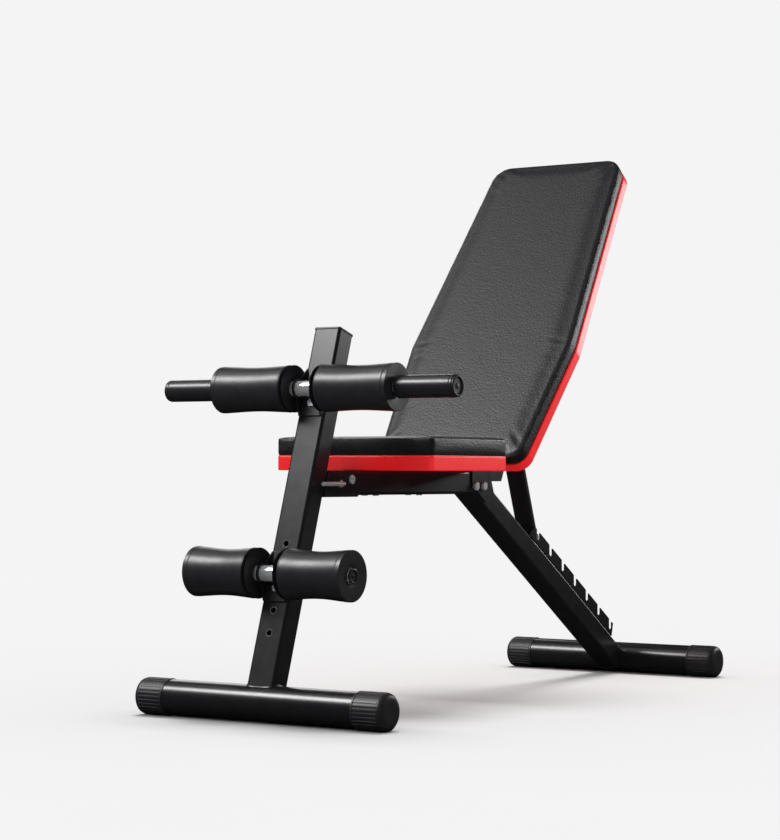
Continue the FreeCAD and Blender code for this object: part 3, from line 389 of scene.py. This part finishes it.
def embossed_vinyl(name, dark, light, rough, grain, depth, sheen):
    """PVC leather with a rolled-in grain: cells with soft valleys, tighter and glossier on top.
    The grain is drawn coarser than the real 1 mm, so that it shows."""
    material, tree, coordinates = new_material(name)
    noise, colour = mottled(tree, coordinates, dark, light, size=5, detail=6)
    cells = add(tree, "ShaderNodeTexVoronoi", {"Scale": per_mm(grain), "feature": "SMOOTH_F1"},
                {"Vector": (coordinates, "Object")})
    creases = add(tree, "ShaderNodeTexNoise", {"Scale": per_mm(45), "Detail": 4},
                  {"Vector": (coordinates, "Object")})
    soft = add(tree, "ShaderNodeBump", {"Strength": 0.3, "Distance": 1.5 * MM},
               {"Height": (creases, "Fac")})
    bump = add(tree, "ShaderNodeBump", {"Strength": 0.6, "Distance": depth * MM, "invert": True},
               {"Height": (cells, "Distance"), "Normal": (soft, "Normal")})
    finish(tree, noise, rough, 0.06, {"IOR": 1.5, "Sheen Weight": sheen, "Sheen Roughness": 0.4},
           {"Base Color": (colour, 2), "Normal": (bump, "Normal")})
    return material


def plated_metal(name, dark, light, rough, grain, metallic):
    """Plated steel: fine polishing marks under the plate scatter the shine a little. It is a
    little under fully metallic, because no bright room stands round the bench to be mirrored."""
    material, tree, coordinates = new_material(name)
    noise, colour = mottled(tree, coordinates, dark, light, size=grain)
    bump = add(tree, "ShaderNodeBump", {"Strength": 0.08, "Distance": 0.05 * MM},
               {"Height": (noise, "Fac")})
    finish(tree, noise, rough, 0.4 * rough, {"Metallic": metallic},
           {"Base Color": (colour, 2), "Normal": (bump, "Normal")})
    return material


def matt_paper():
    """Seamless studio paper: even and matt, with a faint tooth."""
    material, tree, coordinates = new_material("studio_paper_matt")
    _, colour = mottled(tree, coordinates, "#C3C3C3", "#C5C5C5", size=400)
    shader = add(tree, "ShaderNodeBsdfPrincipled", {"Roughness": 1, "Specular IOR Level": 0},
                 {"Base Color": (colour, 2)})
    add(tree, "ShaderNodeOutputMaterial", links={"Surface": (shader, "BSDF")})
    return material


POWDER_COAT = coated_steel("steel_satin_powder_coat", "#121214", "#19191C", rough=0.31, peel=0.25)
GLOSS_COAT = coated_steel("steel_gloss_stoved_paint", "#101012", "#161618", rough=0.25, peel=0.12)
# The light grey of the rings round the post's holes is a painted highlight: it stands in for light
# catching the hole edges.
HOLE_RIM_HIGHLIGHT = coated_steel("steel_thin_coat_on_hole_edge", "#4A4A4C", "#626264", rough=0.4, peel=0.3)
PLASTIC = moulded_plastic("polypropylene_moulded_satin", "#17171A", "#202023", rough=0.42,
                          grain=0.9)
FOAM = skinned_foam("foam_moulded_skin", "#161618", "#1E1E21", rough=0.36)
GRIP = skinned_foam("rubber_sleeve_dipped", "#151517", "#1B1B1E", rough=0.32)
BLACK_VINYL = embossed_vinyl("pvc_leather_black_embossed", "#0D0D0F", "#1D1D20", rough=0.44,
                             grain=3.2, depth=0.6, sheen=0.03)
RED_VINYL = embossed_vinyl("pvc_leather_red_smooth", "#EE0A12", "#F6121B", rough=0.34,
                           grain=2.2, depth=0.1, sheen=0)
WELT_VINYL = embossed_vinyl("pvc_welt_black_extruded", "#1D1D20", "#2A2A2E", rough=0.3,
                            grain=2, depth=0.1, sheen=0)
CHROME = plated_metal("steel_bright_chrome_plated", "#DFE1E4", "#F2F3F5", rough=0.09, grain=6,
                      metallic=0.8)
ZINC = plated_metal("steel_bright_zinc_plated", "#A9ADB3", "#C9CDD2", rough=0.28, grain=3,
                    metallic=0.6)


# Settings -----------------------------------------------------------------------------------

class BenchSizes(bpy.types.PropertyGroup):
    """Sizes of the finish, in metres."""

    roller_round: FloatProperty(
        name="Roller edge", description="Rounding of a foam roller's ends",
        default=4 * MM, unit="LENGTH")
    cap_ribs: IntProperty(
        name="Cap ribs", description="Ribs around a foot cap", default=30)
    rib_depth: FloatProperty(
        name="Rib depth", description="How far the ribs stand out of a foot cap",
        default=0.9 * MM, unit="LENGTH")
    base_edge: FloatProperty(
        name="Base edge", description="Rounding of the red bases' edges", default=2 * MM,
        unit="LENGTH")
    seat_edge: FloatProperty(
        name="Seat edge", description="Rounding of the seat cushion's edges", default=3 * MM,
        unit="LENGTH")
    back_edge: FloatProperty(
        name="Backrest edge", description="Rounding of the backrest cushion's edges",
        default=7 * MM, unit="LENGTH")
    pad_crown: FloatProperty(
        name="Pad crown", description="The most that a cushion swells", default=2.4 * MM,
        unit="LENGTH")
    welt: FloatProperty(
        name="Welt", description="Thickness of the welt along a cushion's edge",
        default=2.4 * MM, unit="LENGTH")
    weld: FloatProperty(
        name="Weld bead", description="Width of a weld bead", default=5 * MM, unit="LENGTH")
    edge: FloatProperty(
        name="Metal edge", description="Rounding of plate edges", default=0.5 * MM,
        unit="LENGTH")


class BenchStage(bpy.types.PropertyGroup):
    """Camera and light."""

    lens: FloatProperty(
        name="Lens", description="Focal length in millimetres", default=100.65, unit="CAMERA")
    backdrop: FloatVectorProperty(
        name="Backdrop", description="Colour of the backdrop", subtype="COLOR", size=3,
        default=linear("#F4F4F4")[:3])


# Stage --------------------------------------------------------------------------------------

CAMERA_PLACE = Vector((2.1563, -3.5073, 0.3898))
CAMERA_TURN = math.radians(33.28)
CAMERA_RISE = math.radians(1.24)
CAMERA_ROLL = math.radians(0.25)
FLOOR_WIDTH = 60
SUN_FROM = Vector((-0.12, 0.3, 1))
SUN_STRENGTH = 2.43
SUN_SPREAD = math.radians(24)
# Each softbox: where it stands, what it faces, its width and height, and its power in watts.
SOFTBOXES = {
    "key": ((-1.87, -2.4, 3.01), (0, -0.2, 0.4), 2.4, 1.0, 165),
    "side": ((1.1, 2.3, 1.05), (0.15, 0.2, 0.7), 0.8, 0.7, 16),
    "top": ((-1.3, -0.4, 2.6), (0, 0.1, 0.6), 1.2, 1.2, 4),
    "rear": ((-2.4, 2.2, 1.6), (0, 0, 0.4), 1.6, 1.6, 20),
}


class BENCH_OT_stage(bpy.types.Operator):
    """Make the floor, the lights and the camera"""

    bl_idname = "bench.stage"
    bl_label = "Stage"

    def execute(self, context):
        stage = context.scene.bench_stage
        floor = start("studio_floor", bpy.ops.mesh.primitive_plane_add, size=FLOOR_WIDTH,
                      location=(0, 0, CAD_BOX[0].z))
        close(floor)
        bpy.ops.object.transform_apply(location=True)
        floor.data.materials.append(matt_paper())
        floor.visible_glossy = False
        floor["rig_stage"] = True

        world = bpy.data.worlds.new("studio_air")
        context.scene.world = world
        world.use_nodes = True
        world.node_tree.nodes["Background"].inputs["Color"].default_value = (*stage.backdrop, 1)
        world.cycles_visibility.glossy = False

        bpy.ops.object.light_add(type="SUN", location=(-0.5, 1.2, 4))
        sun = context.object
        sun.name = "studio_sun"
        sun.data.energy = SUN_STRENGTH
        sun.data.angle = SUN_SPREAD
        sun.rotation_euler = SUN_FROM.to_track_quat("Z", "Y").to_euler()
        sun.visible_glossy = False

        receivers = bpy.data.collections.new("lit_by_softboxes")
        for name, (place, target, width, height, power) in SOFTBOXES.items():
            bpy.ops.object.light_add(type="AREA", location=place)
            light = context.object
            light.name = f"softbox_{name}"
            light.data.shape = "RECTANGLE"
            light.data.size = width
            light.data.size_y = height
            light.data.energy = power
            away = Vector(place) - Vector(target)
            light.rotation_euler = away.to_track_quat("Z", "Y").to_euler()
            light.visible_camera = False
            light.light_linking.receiver_collection = receivers

        turn, rise, roll = CAMERA_TURN, CAMERA_RISE, CAMERA_ROLL
        forward = Vector((-math.sin(turn) * math.cos(rise), math.cos(turn) * math.cos(rise),
                          math.sin(rise)))
        level = Vector((math.cos(turn), math.sin(turn), 0))
        upright = level.cross(forward)
        right = level * math.cos(roll) + upright * math.sin(roll)
        up = upright * math.cos(roll) - level * math.sin(roll)
        bpy.ops.object.camera_add(location=CAMERA_PLACE)
        camera = context.object
        camera.name = "studio_camera"
        camera.rotation_euler = Matrix((right, up, -forward)).transposed().to_euler()
        camera.data.lens = stage.lens
        context.scene.camera = camera
        context.scene.view_settings.view_transform = "Standard"
        return {"FINISHED"}


# Metal --------------------------------------------------------------------------------------

COATED = ("main_beam", "rear_leg", "rack_plate_right", "rack_plate_left", "hinge_plate_right",
          "hinge_plate_left", "backrest_stop", "front_post", "post_hinge_channel",
          "upper_roller_bracket", "lower_roller_bracket", "back_tube", "back_cross_plate_lower",
          "back_cross_plate_upper", "strut")
GLOSSY = ("front_foot_tube", "rear_foot_tube")
ZINC_PLATED = ("leg_joint_bolts", "leg_joint_nuts", "backrest_pivot_bolt", "backrest_pivot_nut",
               "seat_screws", "fold_bolt", "fold_nut", "roller_bracket_bolts",
               "roller_bracket_nuts", "back_screws", "strut_pivot_bolt", "strut_pivot_nut",
               "strut_foot_pin")
CHROMED = ("upper_roller_axle", "lower_roller_axle", "lock_pin")
NYLON = ("pivot_spacer_right", "pivot_spacer_left", "back_tube_cap")


def softened_copy(node, width, material, slot):
    """A CAD part copied, its triangles joined into whole faces and its edges rounded."""
    source = frame["nodes"][node]
    copy = source.copy()
    copy.data = source.data.copy()
    copy.parent = None
    copy.name = f"{node}_finished"
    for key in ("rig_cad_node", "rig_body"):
        del copy[key]
    bpy.context.scene.collection.objects.link(copy)
    take(copy)
    bpy.ops.object.mode_set(mode="EDIT")
    bpy.ops.mesh.select_all(action="SELECT")
    bpy.ops.mesh.remove_doubles(threshold=0.005 * MM)
    bpy.ops.mesh.dissolve_limited(angle_limit=math.radians(0.5))
    bpy.ops.object.mode_set(mode="OBJECT")
    if copy.data.has_custom_normals:
        bpy.ops.mesh.customdata_custom_splitnormals_clear()
    soften(copy, width, segments=2, angle=30)
    return settle(copy, Matrix(), material, source["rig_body"], slot, node)


class BENCH_OT_metal(bpy.types.Operator):
    """Round the edges of the metal parts and give them their coat or plate"""

    bl_idname = "bench.metal"
    bl_label = "Metal parts"

    def execute(self, context):
        edge = context.scene.bench_sizes.edge
        finishes = (
            (COATED, edge, POWDER_COAT, "frame_powder_coat"),
            (GLOSSY, edge, GLOSS_COAT, "frame_powder_coat"),
            (ZINC_PLATED, 0.5 * edge, ZINC, "zinc"),
            (CHROMED, 0.5 * edge, CHROME, "chrome"),
            (NYLON, 0.5 * edge, PLASTIC, "black_plastic"),
        )
        for nodes, width, material, slot in finishes:
            for node in nodes:
                softened_copy(node, width, material, slot)
        return {"FINISHED"}


# Foot caps ----------------------------------------------------------------------------------

CAP_WALL = 1.3 * MM
CAP_COLLAR = 4 * MM
CAP_END = 10 * MM
CAP_DISH = 0.6 * MM
# A foot cap's rounded end: how far back from the end and how far in from its skin.
CAP_NOSE = ((8 * MM, 0.5 * MM), (4.2 * MM, 2 * MM), (1.4 * MM, 5.2 * MM), (0.3 * MM, 9 * MM),
            (0, 14 * MM))
FACES_PER_RIB = 4


class BENCH_OT_foot_caps(bpy.types.Operator):
    """Make the ribbed plastic caps on the ends of the two foot tubes"""

    bl_idname = "bench.foot_caps"
    bl_label = "Foot caps"

    def execute(self, context):
        sizes = context.scene.bench_sizes
        for place, body in (("front", "front_post_assembly"), ("rear", "base")):
            axis = middle_of(f"{place}_foot_tube")
            for side_name, side in SIDES.items():
                self.make_cap(f"{place}_foot_cap_{side_name}", sizes, axis, side, body)
        return {"FINISHED"}

    @staticmethod
    def make_cap(node, sizes, axis, side, body):
        """One cap: a collar at the mouth, ribs round its side, a dished end and a flat below."""
        low, high = extents(node)
        mouth, end = reach(node, side)
        radius = high.z - axis.z
        smooth = radius - sizes.rib_depth
        collar = mouth + CAP_COLLAR
        rib_end = end - CAP_END
        cap = turned(f"{node}_moulded", [
            (mouth, radius - CAP_WALL), (mouth, radius), (collar - 1 * MM, radius),
            (collar, smooth), (rib_end, smooth),
            *((end - back, radius - drop) for back, drop in CAP_NOSE),
            (end - CAP_DISH, 0.2 * radius), (end - CAP_DISH, NEAR_AXIS),
        ], segments=FACES_PER_RIB * sizes.cap_ribs)
        take(cap)
        bpy.ops.object.mode_set(mode="EDIT")
        step = 2 * math.pi / sizes.cap_ribs

        def on_rib(face):
            middle = face.calc_center_median()
            if not collar < middle.x < rib_end:
                return False
            return math.atan2(middle.z, middle.y) % step < 0.5 * step

        choose("faces", on_rib)
        bpy.ops.mesh.extrude_region_shrink_fatten(
            TRANSFORM_OT_shrink_fatten={"value": sizes.rib_depth})
        close(cap)
        soften(cap, 0.35 * MM, segments=2, angle=35)
        if side < 0:
            turn_round(cap)
        take(cap)
        bpy.ops.object.mode_set(mode="EDIT")
        bpy.ops.mesh.select_all(action="SELECT")
        bpy.ops.mesh.bisect(plane_co=(0, 0, low.z - axis.z), plane_no=(0, 0, -1),
                            clear_outer=True, use_fill=True)
        bpy.ops.object.mode_set(mode="OBJECT")
        settle(cap, Matrix.Translation((0, axis.y, axis.z)), PLASTIC, body, "black_plastic", node)


# Foam rollers, grips and plugs --------------------------------------------------------------

ROLLER_DISH = 1.5 * MM
ROLLER_LIP = 8 * MM
# The ring groove near a roller's end: along the roller and out of its skin.
ROLLER_GROOVE = ((-1.2 * MM, 0), (0, -0.7 * MM), (1.2 * MM, 0))
# How gently a roller narrows near its ends: 1 would be a plain sine.
WAIST_POWER = 1.6


class BENCH_OT_rollers(bpy.types.Operator):
    """Make the four foam leg rollers"""

    bl_idname = "bench.rollers"
    bl_label = "Foam rollers"

    def execute(self, context):
        rounding = context.scene.bench_sizes.roller_round
        for place, axle in (("lower", LOWER_AXLE), ("upper", UPPER_AXLE)):
            bore = radius_of(f"{place}_roller_axle") + 0.3 * MM
            for side_name, side in SIDES.items():
                node = f"{place}_roller_{side_name}"
                low, high = extents(node, POST)
                inner, outer = reach(node, side, POST)
                radius = (high.z - low.z) / 2
                waist = self.waist_of(node, axle, side * (inner + outer) / 2)
                piece = turned(f"{node}_foam", self.profile(inner, outer, radius, waist, bore),
                               segments=96)
                if side < 0:
                    turn_round(piece)
                soften(piece, rounding, segments=5, angle=50)
                settle(piece, Matrix.Translation(axle), FOAM, node, "foam", node)
        return {"FINISHED"}

    @staticmethod
    def waist_of(node, axle, middle):
        """The radius of the CAD roller where it is slimmest."""
        ring = [v.co - axle for v in frame["nodes"][node].data.vertices
                if abs(v.co.x - middle) < 1 * MM]
        return max(math.hypot(p.y, p.z) for p in ring)

    @staticmethod
    def profile(inner, outer, radius, waist, bore):
        """From the bore round the inner end, along the waist and back through the bore."""
        length = outer - inner
        dish = ROLLER_DISH
        rim = (0.2 * dish, 0.55 * radius)
        margin = ROLLER_LIP + 2 * MM
        stations = [(inner + dish, bore), (inner + rim[0], rim[1]), (inner, radius)]
        steps = 24
        for step in range(1, steps):
            share = step / steps
            if margin < share * length < length - margin:
                hollow = math.sin(math.pi * share) ** WAIST_POWER
                stations.append((inner + share * length, radius - (radius - waist) * hollow))
        stations += [(spot + x, radius + depth) for spot in (inner + ROLLER_LIP, outer - ROLLER_LIP)
                     for x, depth in ROLLER_GROOVE]
        stations.sort()
        stations += [(outer, radius), (outer - rim[0], rim[1]), (outer - dish, bore),
                     (inner + dish, bore)]
        return stations


# A grip's grooved end: how far back from the end and how far in from its skin.
GRIP_END = ((6 * MM, 0), (5 * MM, 0.6 * MM), (4 * MM, 0), (1 * MM, 0), (0, 1.2 * MM))
PLUG_FLANGE = 3 * MM
# A plug's domed rim: how far back from its face and how far in from its edge.
PLUG_RIM = ((1.2 * MM, 0), (0.3 * MM, 1 * MM), (0, 2.4 * MM), (0.4 * MM, 3.6 * MM),
            (2.2 * MM, 4.6 * MM))
# A plug's dish and button: how far back from its face and what share of its radius.
PLUG_DISH = ((2.2 * MM, 0.3), (1.2 * MM, 0.22))


class BENCH_OT_grips(bpy.types.Operator):
    """Make the rubber hand grips and the plugs in the axle ends"""

    bl_idname = "bench.grips"
    bl_label = "Grips and plugs"

    def execute(self, context):
        body = "front_post_assembly"
        for side_name, side in SIDES.items():
            grip = f"hand_grip_{side_name}"
            inner, outer = reach(grip, side)
            radius = radius_of(grip)
            bore = radius_of("upper_roller_axle") + 0.1 * MM
            sleeve = turned(f"{grip}_sleeve", [
                (inner, bore), (inner, radius - 1 * MM), (inner + 1.5 * MM, radius),
                *((outer - back, radius - drop) for back, drop in GRIP_END),
                (outer, bore), (inner, bore)])
            if side < 0:
                turn_round(sleeve)
            soften(sleeve, 0.6 * MM, segments=3, angle=30)
            settle(sleeve, Matrix.Translation(UPPER_AXLE), GRIP, body, "grip_rubber", grip)
            for place, axle in (("lower", LOWER_AXLE), ("upper", UPPER_AXLE)):
                self.make_plug(f"{place}_axle_plug_{side_name}", axle, side, body)
        return {"FINISHED"}

    @staticmethod
    def make_plug(node, axle, side, body):
        """A push-in plug: a domed rim round a shallow dish with a raised button."""
        inner, outer = reach(node, side)
        rim = radius_of(node)
        wide = rim > 14 * MM
        stem = rim - (5 * MM if wide else 2 * MM)
        plug = turned(f"{node}_moulded", [
            (inner, NEAR_AXIS), (inner, stem), (outer - PLUG_FLANGE, stem),
            (outer - PLUG_FLANGE, rim), *((outer - back, rim - drop) for back, drop in PLUG_RIM),
            *((outer - back, share * rim) for back, share in PLUG_DISH),
            (outer - 1.0 * MM, NEAR_AXIS)])
        if side < 0:
            turn_round(plug)
        soften(plug, 0.3 * MM, segments=2, angle=30)
        settle(plug, Matrix.Translation(axle), PLASTIC, body, "black_plastic", node)


# Post cap, holes and welds ------------------------------------------------------------------

# How square a weld bead's plan is: 2 would make it an ellipse.
WELD_SQUARENESS = 6
WELD_POINTS = 72


def weld_path(tube, place, axis, radius, way):
    """Where a square tube meets a round one: the tube's plan, laid on the round tube's skin."""
    low, high = extents(tube, place)
    half = (high - low) / 2
    middle = middle_of(tube, place)
    power = WELD_SQUARENESS
    path = []
    for step in range(WELD_POINTS):
        angle = 2 * math.pi * (step + 0.5) / WELD_POINTS
        across, up = math.cos(angle), math.sin(angle)
        bulge = (abs(across / half.x) ** power + abs(up / half.z) ** power) ** (-1 / power)
        z = middle.z + bulge * up
        along = axis.y + way * math.sqrt(radius ** 2 - (z - axis.z) ** 2)
        path.append(Vector((middle.x + bulge * across, along, z)))
    return path


class BENCH_OT_post_details(bpy.types.Operator):
    """Make the rims of the post's holes and the weld beads on the two foot tubes"""

    bl_idname = "bench.post_details"
    bl_label = "Hole rims and welds"

    def execute(self, context):
        weld = context.scene.bench_sizes.weld
        for number, (middle, radius) in enumerate(self.holes(), start=1):
            ring = start(f"post_hole_rim_{number}", bpy.ops.mesh.primitive_torus_add,
                         major_radius=radius + 0.4 * MM, minor_radius=0.5 * MM,
                         major_segments=40, minor_segments=8, location=middle)
            close(ring)
            # Each ring is light grey: a painted highlight on the hole's edge.
            settle(ring, POST, HOLE_RIM_HIGHLIGHT, "front_post_assembly", "frame_powder_coat")
        joints = (("post_foot_weld", "front_post", "front_foot_tube", POST, 1,
                   "front_post_assembly"),
                  ("leg_foot_weld", "rear_leg", "rear_foot_tube", LEG, -1, "base"))
        for name, tube, foot, place, way, body in joints:
            path = weld_path(tube, place, middle_of(foot, place), radius_of(foot), way)
            settle(cord(name, path, weld, ripple=0.2), place, POWDER_COAT, body,
                   "frame_powder_coat")
        return {"FINISHED"}

    @staticmethod
    def holes():
        """Middle and radius of each open hole in the post's front face, in the post's frame."""
        inverse = POST.inverted()
        points = [inverse @ v.co for v in frame["nodes"]["front_post"].data.vertices]
        face = max(p.z for p in points)
        half_strip, flush, widest, apart = 7 * MM, 0.05 * MM, 11 * MM, 5 * MM
        rim = sorted(p.y for p in points if abs(p.x) < half_strip and face - p.z < flush)
        plates = [extents(f"{place}_roller_bracket", POST) for place in ("lower", "upper")]
        found = []
        for before, first in zip([-1, *rim], rim):
            last = max(y for y in rim if y - first < widest)
            hidden = any(low.y < first < high.y for low, high in plates)
            if first - before > apart and last > first and not hidden:
                found.append((Vector((0, (first + last) / 2, face)), (last - first) / 2))
        return found


class BENCH_OT_post_cap(bpy.types.Operator):
    """Make the plastic cap on the post's top end"""

    bl_idname = "bench.post_cap"
    bl_label = "Post cap"

    def execute(self, context):
        overhang, corner, border, sink = 1.6 * MM, 5 * MM, 7 * MM, 0.8 * MM
        low, high = extents("front_post", POST)
        centre = (low + high) / 2
        seat = (centre.x, high.y, centre.z)
        lift = extents("post_top_cap", POST)[1].y - high.y
        cap = start("post_top_cap_moulded", bpy.ops.mesh.primitive_plane_add, size=1,
                    location=seat, rotation=(-QUARTER, 0, 0))
        bpy.ops.transform.resize(value=(high.x - low.x + overhang, 1, high.z - low.z + overhang),
                                 center_override=seat)
        bpy.ops.mesh.bevel(offset=corner, segments=5, affect="VERTICES")
        bpy.ops.mesh.extrude_region_move(TRANSFORM_OT_translate={"value": (0, lift, 0)})
        bpy.ops.mesh.inset(thickness=border)
        bpy.ops.transform.translate(value=(0, -sink, 0))
        close(cap)
        soften(cap, 1.1 * MM, segments=4, angle=40)
        settle(cap, POST, PLASTIC, "front_post_assembly", "black_plastic", "post_top_cap")
        return {"FINISHED"}


# Upholstery ---------------------------------------------------------------------------------

COVER_GRID = 3.6 * MM
COVER_PRESSURE = 4
COVER_FRAMES = 20
# How far the vinyl reaches past the board or the foam under it.
COVER_OVERLAP = 0.5 * MM
# The band along a seam, and at a cushion's foot, that the simulation holds.
HELD_BAND = 2 * MM
HELD_MARGIN = 9 * MM


def swell(piece, crown, held):
    """Blow a covered pad up by cloth simulation. Points that are held stay where they are, and
    no point moves further than the crown."""
    modify(piece, "REMESH", mode="VOXEL", voxel_size=COVER_GRID, use_smooth_shade=True)
    before = [v.co.copy() for v in piece.data.vertices]
    group = piece.vertex_groups.new(name="held")
    group.add([i for i, point in enumerate(before) if held(point)], 1, "REPLACE")
    take(piece)
    cloth = piece.modifiers.new("Cover", "CLOTH")
    cloth.settings.use_pressure = True
    cloth.settings.uniform_pressure_force = COVER_PRESSURE
    cloth.settings.effector_weights.gravity = 0
    cloth.settings.vertex_group_mass = group.name
    cloth.settings.quality = 4
    for number in range(1, COVER_FRAMES + 1):
        bpy.context.scene.frame_set(number)
    bpy.ops.object.modifier_apply(modifier=cloth.name)
    bpy.context.scene.frame_set(1)
    for vertex, old in zip(piece.data.vertices, before):
        move = vertex.co - old
        # A point nears the crown softly, so that the swelling has no flat top.
        share = math.tanh(move.length / crown) if move.length else 0
        vertex.co = old + (move.normalized() * crown * share if share else Vector())
    piece.vertex_groups.clear()


def outline_of(node, place):
    """The plan of a CAD slab, as (x, y) points in order around it."""
    low, high = extents(node, place)
    inverse = place.inverted()
    points = [inverse @ v.co for v in frame["nodes"][node].data.vertices]
    middle = (low + high) / 2
    rim = {(round(p.x, 5), round(p.y, 5)) for p in points if high.z - p.z < 0.1 * MM}
    ordered = sorted(rim, key=lambda p: math.atan2(p[1] - middle.y, p[0] - middle.x))
    return [Vector(p) for p in ordered]


def drawn_in(outline, distance):
    """A closed outline moved inwards, anticlockwise points given."""
    moved = []
    for index, corner in enumerate(outline):
        before = (corner - outline[index - 1]).normalized()
        after = (outline[(index + 1) % len(outline)] - corner).normalized()
        along = (before + after).normalized()
        moved.append(corner + Vector((-along.y, along.x)) * distance)
    return moved


def is_inside(outline, point, margin):
    """Whether a point keeps a margin from every side of a convex outline round it."""
    spot = point.xy
    for index, corner in enumerate(outline):
        side = corner - outline[index - 1]
        if (spot - outline[index - 1]).cross(side.normalized()) > -margin:
            return False
    return True


def slab(name, outline, bottom, top, rounding):
    """An upright slab on an outline, with rounded edges."""
    piece = start(name, bpy.ops.mesh.primitive_circle_add, vertices=len(outline), radius=1,
                  fill_type="NGON")
    mesh = bmesh.from_edit_mesh(piece.data)
    mesh.verts.ensure_lookup_table()
    for vertex, point in zip(mesh.verts, outline):
        vertex.co = (point.x, point.y, bottom)
    bmesh.update_edit_mesh(piece.data)
    bpy.ops.mesh.select_all(action="SELECT")
    bpy.ops.mesh.extrude_region_move(TRANSFORM_OT_translate={"value": (0, 0, top - bottom)})
    close(piece)
    return soften(piece, rounding, segments=4, angle=60)


def upholster(name, board, cushion, place, body, sizes, edge):
    """Cover one pad: the red base, the swollen black cushion on it and the welts between."""
    low, high = extents(board, place)
    outline = outline_of(cushion, place)
    covered = drawn_in(outline, -COVER_OVERLAP)
    base = slab(f"{name}_base_red", covered, low.z, high.z, sizes.base_edge)
    settle(base, place, RED_VINYL, body, "red_vinyl", board)
    low, high = extents(cushion, place)
    shrink = 0.25 * sizes.pad_crown
    top = slab(f"{name}_cushion_black", covered, low.z, high.z - 2 * shrink, edge)
    seam = high.z - 2 * shrink - edge

    def held(point):
        near_seam = abs(point.z - seam) < HELD_BAND
        return point.z < low.z + HELD_BAND or (near_seam and not is_inside(covered, point,
                                                                           HELD_MARGIN))

    swell(top, sizes.pad_crown, held)
    settle(top, place, BLACK_VINYL, body, "black_vinyl", cushion)
    cover = {"upper": (seam, WELT_VINYL, "black_vinyl"), "lower": (low.z, RED_VINYL, "red_vinyl")}
    for where, (height, material, slot) in cover.items():
        path = [Vector((*point, height)) for point in drawn_in(outline, 0.4 * sizes.welt)]
        welt = cord(f"{name}_welt_{where}", path, sizes.welt)
        settle(welt, place, material, body, slot)


class BENCH_OT_seat(bpy.types.Operator):
    """Upholster the seat"""

    bl_idname = "bench.seat"
    bl_label = "Seat"

    def execute(self, context):
        sizes = context.scene.bench_sizes
        upholster("seat", "seat_board", "seat_cushion", Matrix(), "base", sizes, sizes.seat_edge)
        return {"FINISHED"}


class BENCH_OT_backrest(bpy.types.Operator):
    """Upholster the backrest"""

    bl_idname = "bench.backrest"
    bl_label = "Backrest"

    def execute(self, context):
        sizes = context.scene.bench_sizes
        upholster("back", "back_board", "back_cushion", BACK, "backrest", sizes, sizes.back_edge)
        return {"FINISHED"}


# Panel and run ------------------------------------------------------------------------------

OPERATORS = (BENCH_OT_stage, BENCH_OT_metal, BENCH_OT_foot_caps, BENCH_OT_rollers,
             BENCH_OT_grips, BENCH_OT_post_details, BENCH_OT_post_cap, BENCH_OT_seat,
             BENCH_OT_backrest)


class BENCH_PT_panel(bpy.types.Panel):
    """The steps of the finish, in order"""

    bl_idname = "BENCH_PT_panel"
    bl_label = "Sit-up bench"
    bl_space_type = "VIEW_3D"
    bl_region_type = "UI"
    bl_category = "Bench"

    def draw(self, context):
        for group in (context.scene.bench_sizes, context.scene.bench_stage):
            for name in group.bl_rna.properties.keys():
                if name not in ("rna_type", "name"):
                    self.layout.prop(group, name)
        for operator in OPERATORS:
            self.layout.operator(operator.bl_idname)


CLASSES = (BenchSizes, BenchStage, *OPERATORS, BENCH_PT_panel)


def register():
    for item in CLASSES:
        bpy.utils.register_class(item)
    bpy.types.Scene.bench_sizes = PointerProperty(type=BenchSizes)
    bpy.types.Scene.bench_stage = PointerProperty(type=BenchStage)


def unregister():
    del bpy.types.Scene.bench_stage
    del bpy.types.Scene.bench_sizes
    for item in reversed(CLASSES):
        bpy.utils.unregister_class(item)


def main():
    register()
    for operator in OPERATORS:
        group, name = operator.bl_idname.split(".")
        getattr(getattr(bpy.ops, group), name)()
    deselect()
    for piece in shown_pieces():
        bpy.data.collections["lit_by_softboxes"].objects.link(piece)


if __name__ == "__main__":
    main()
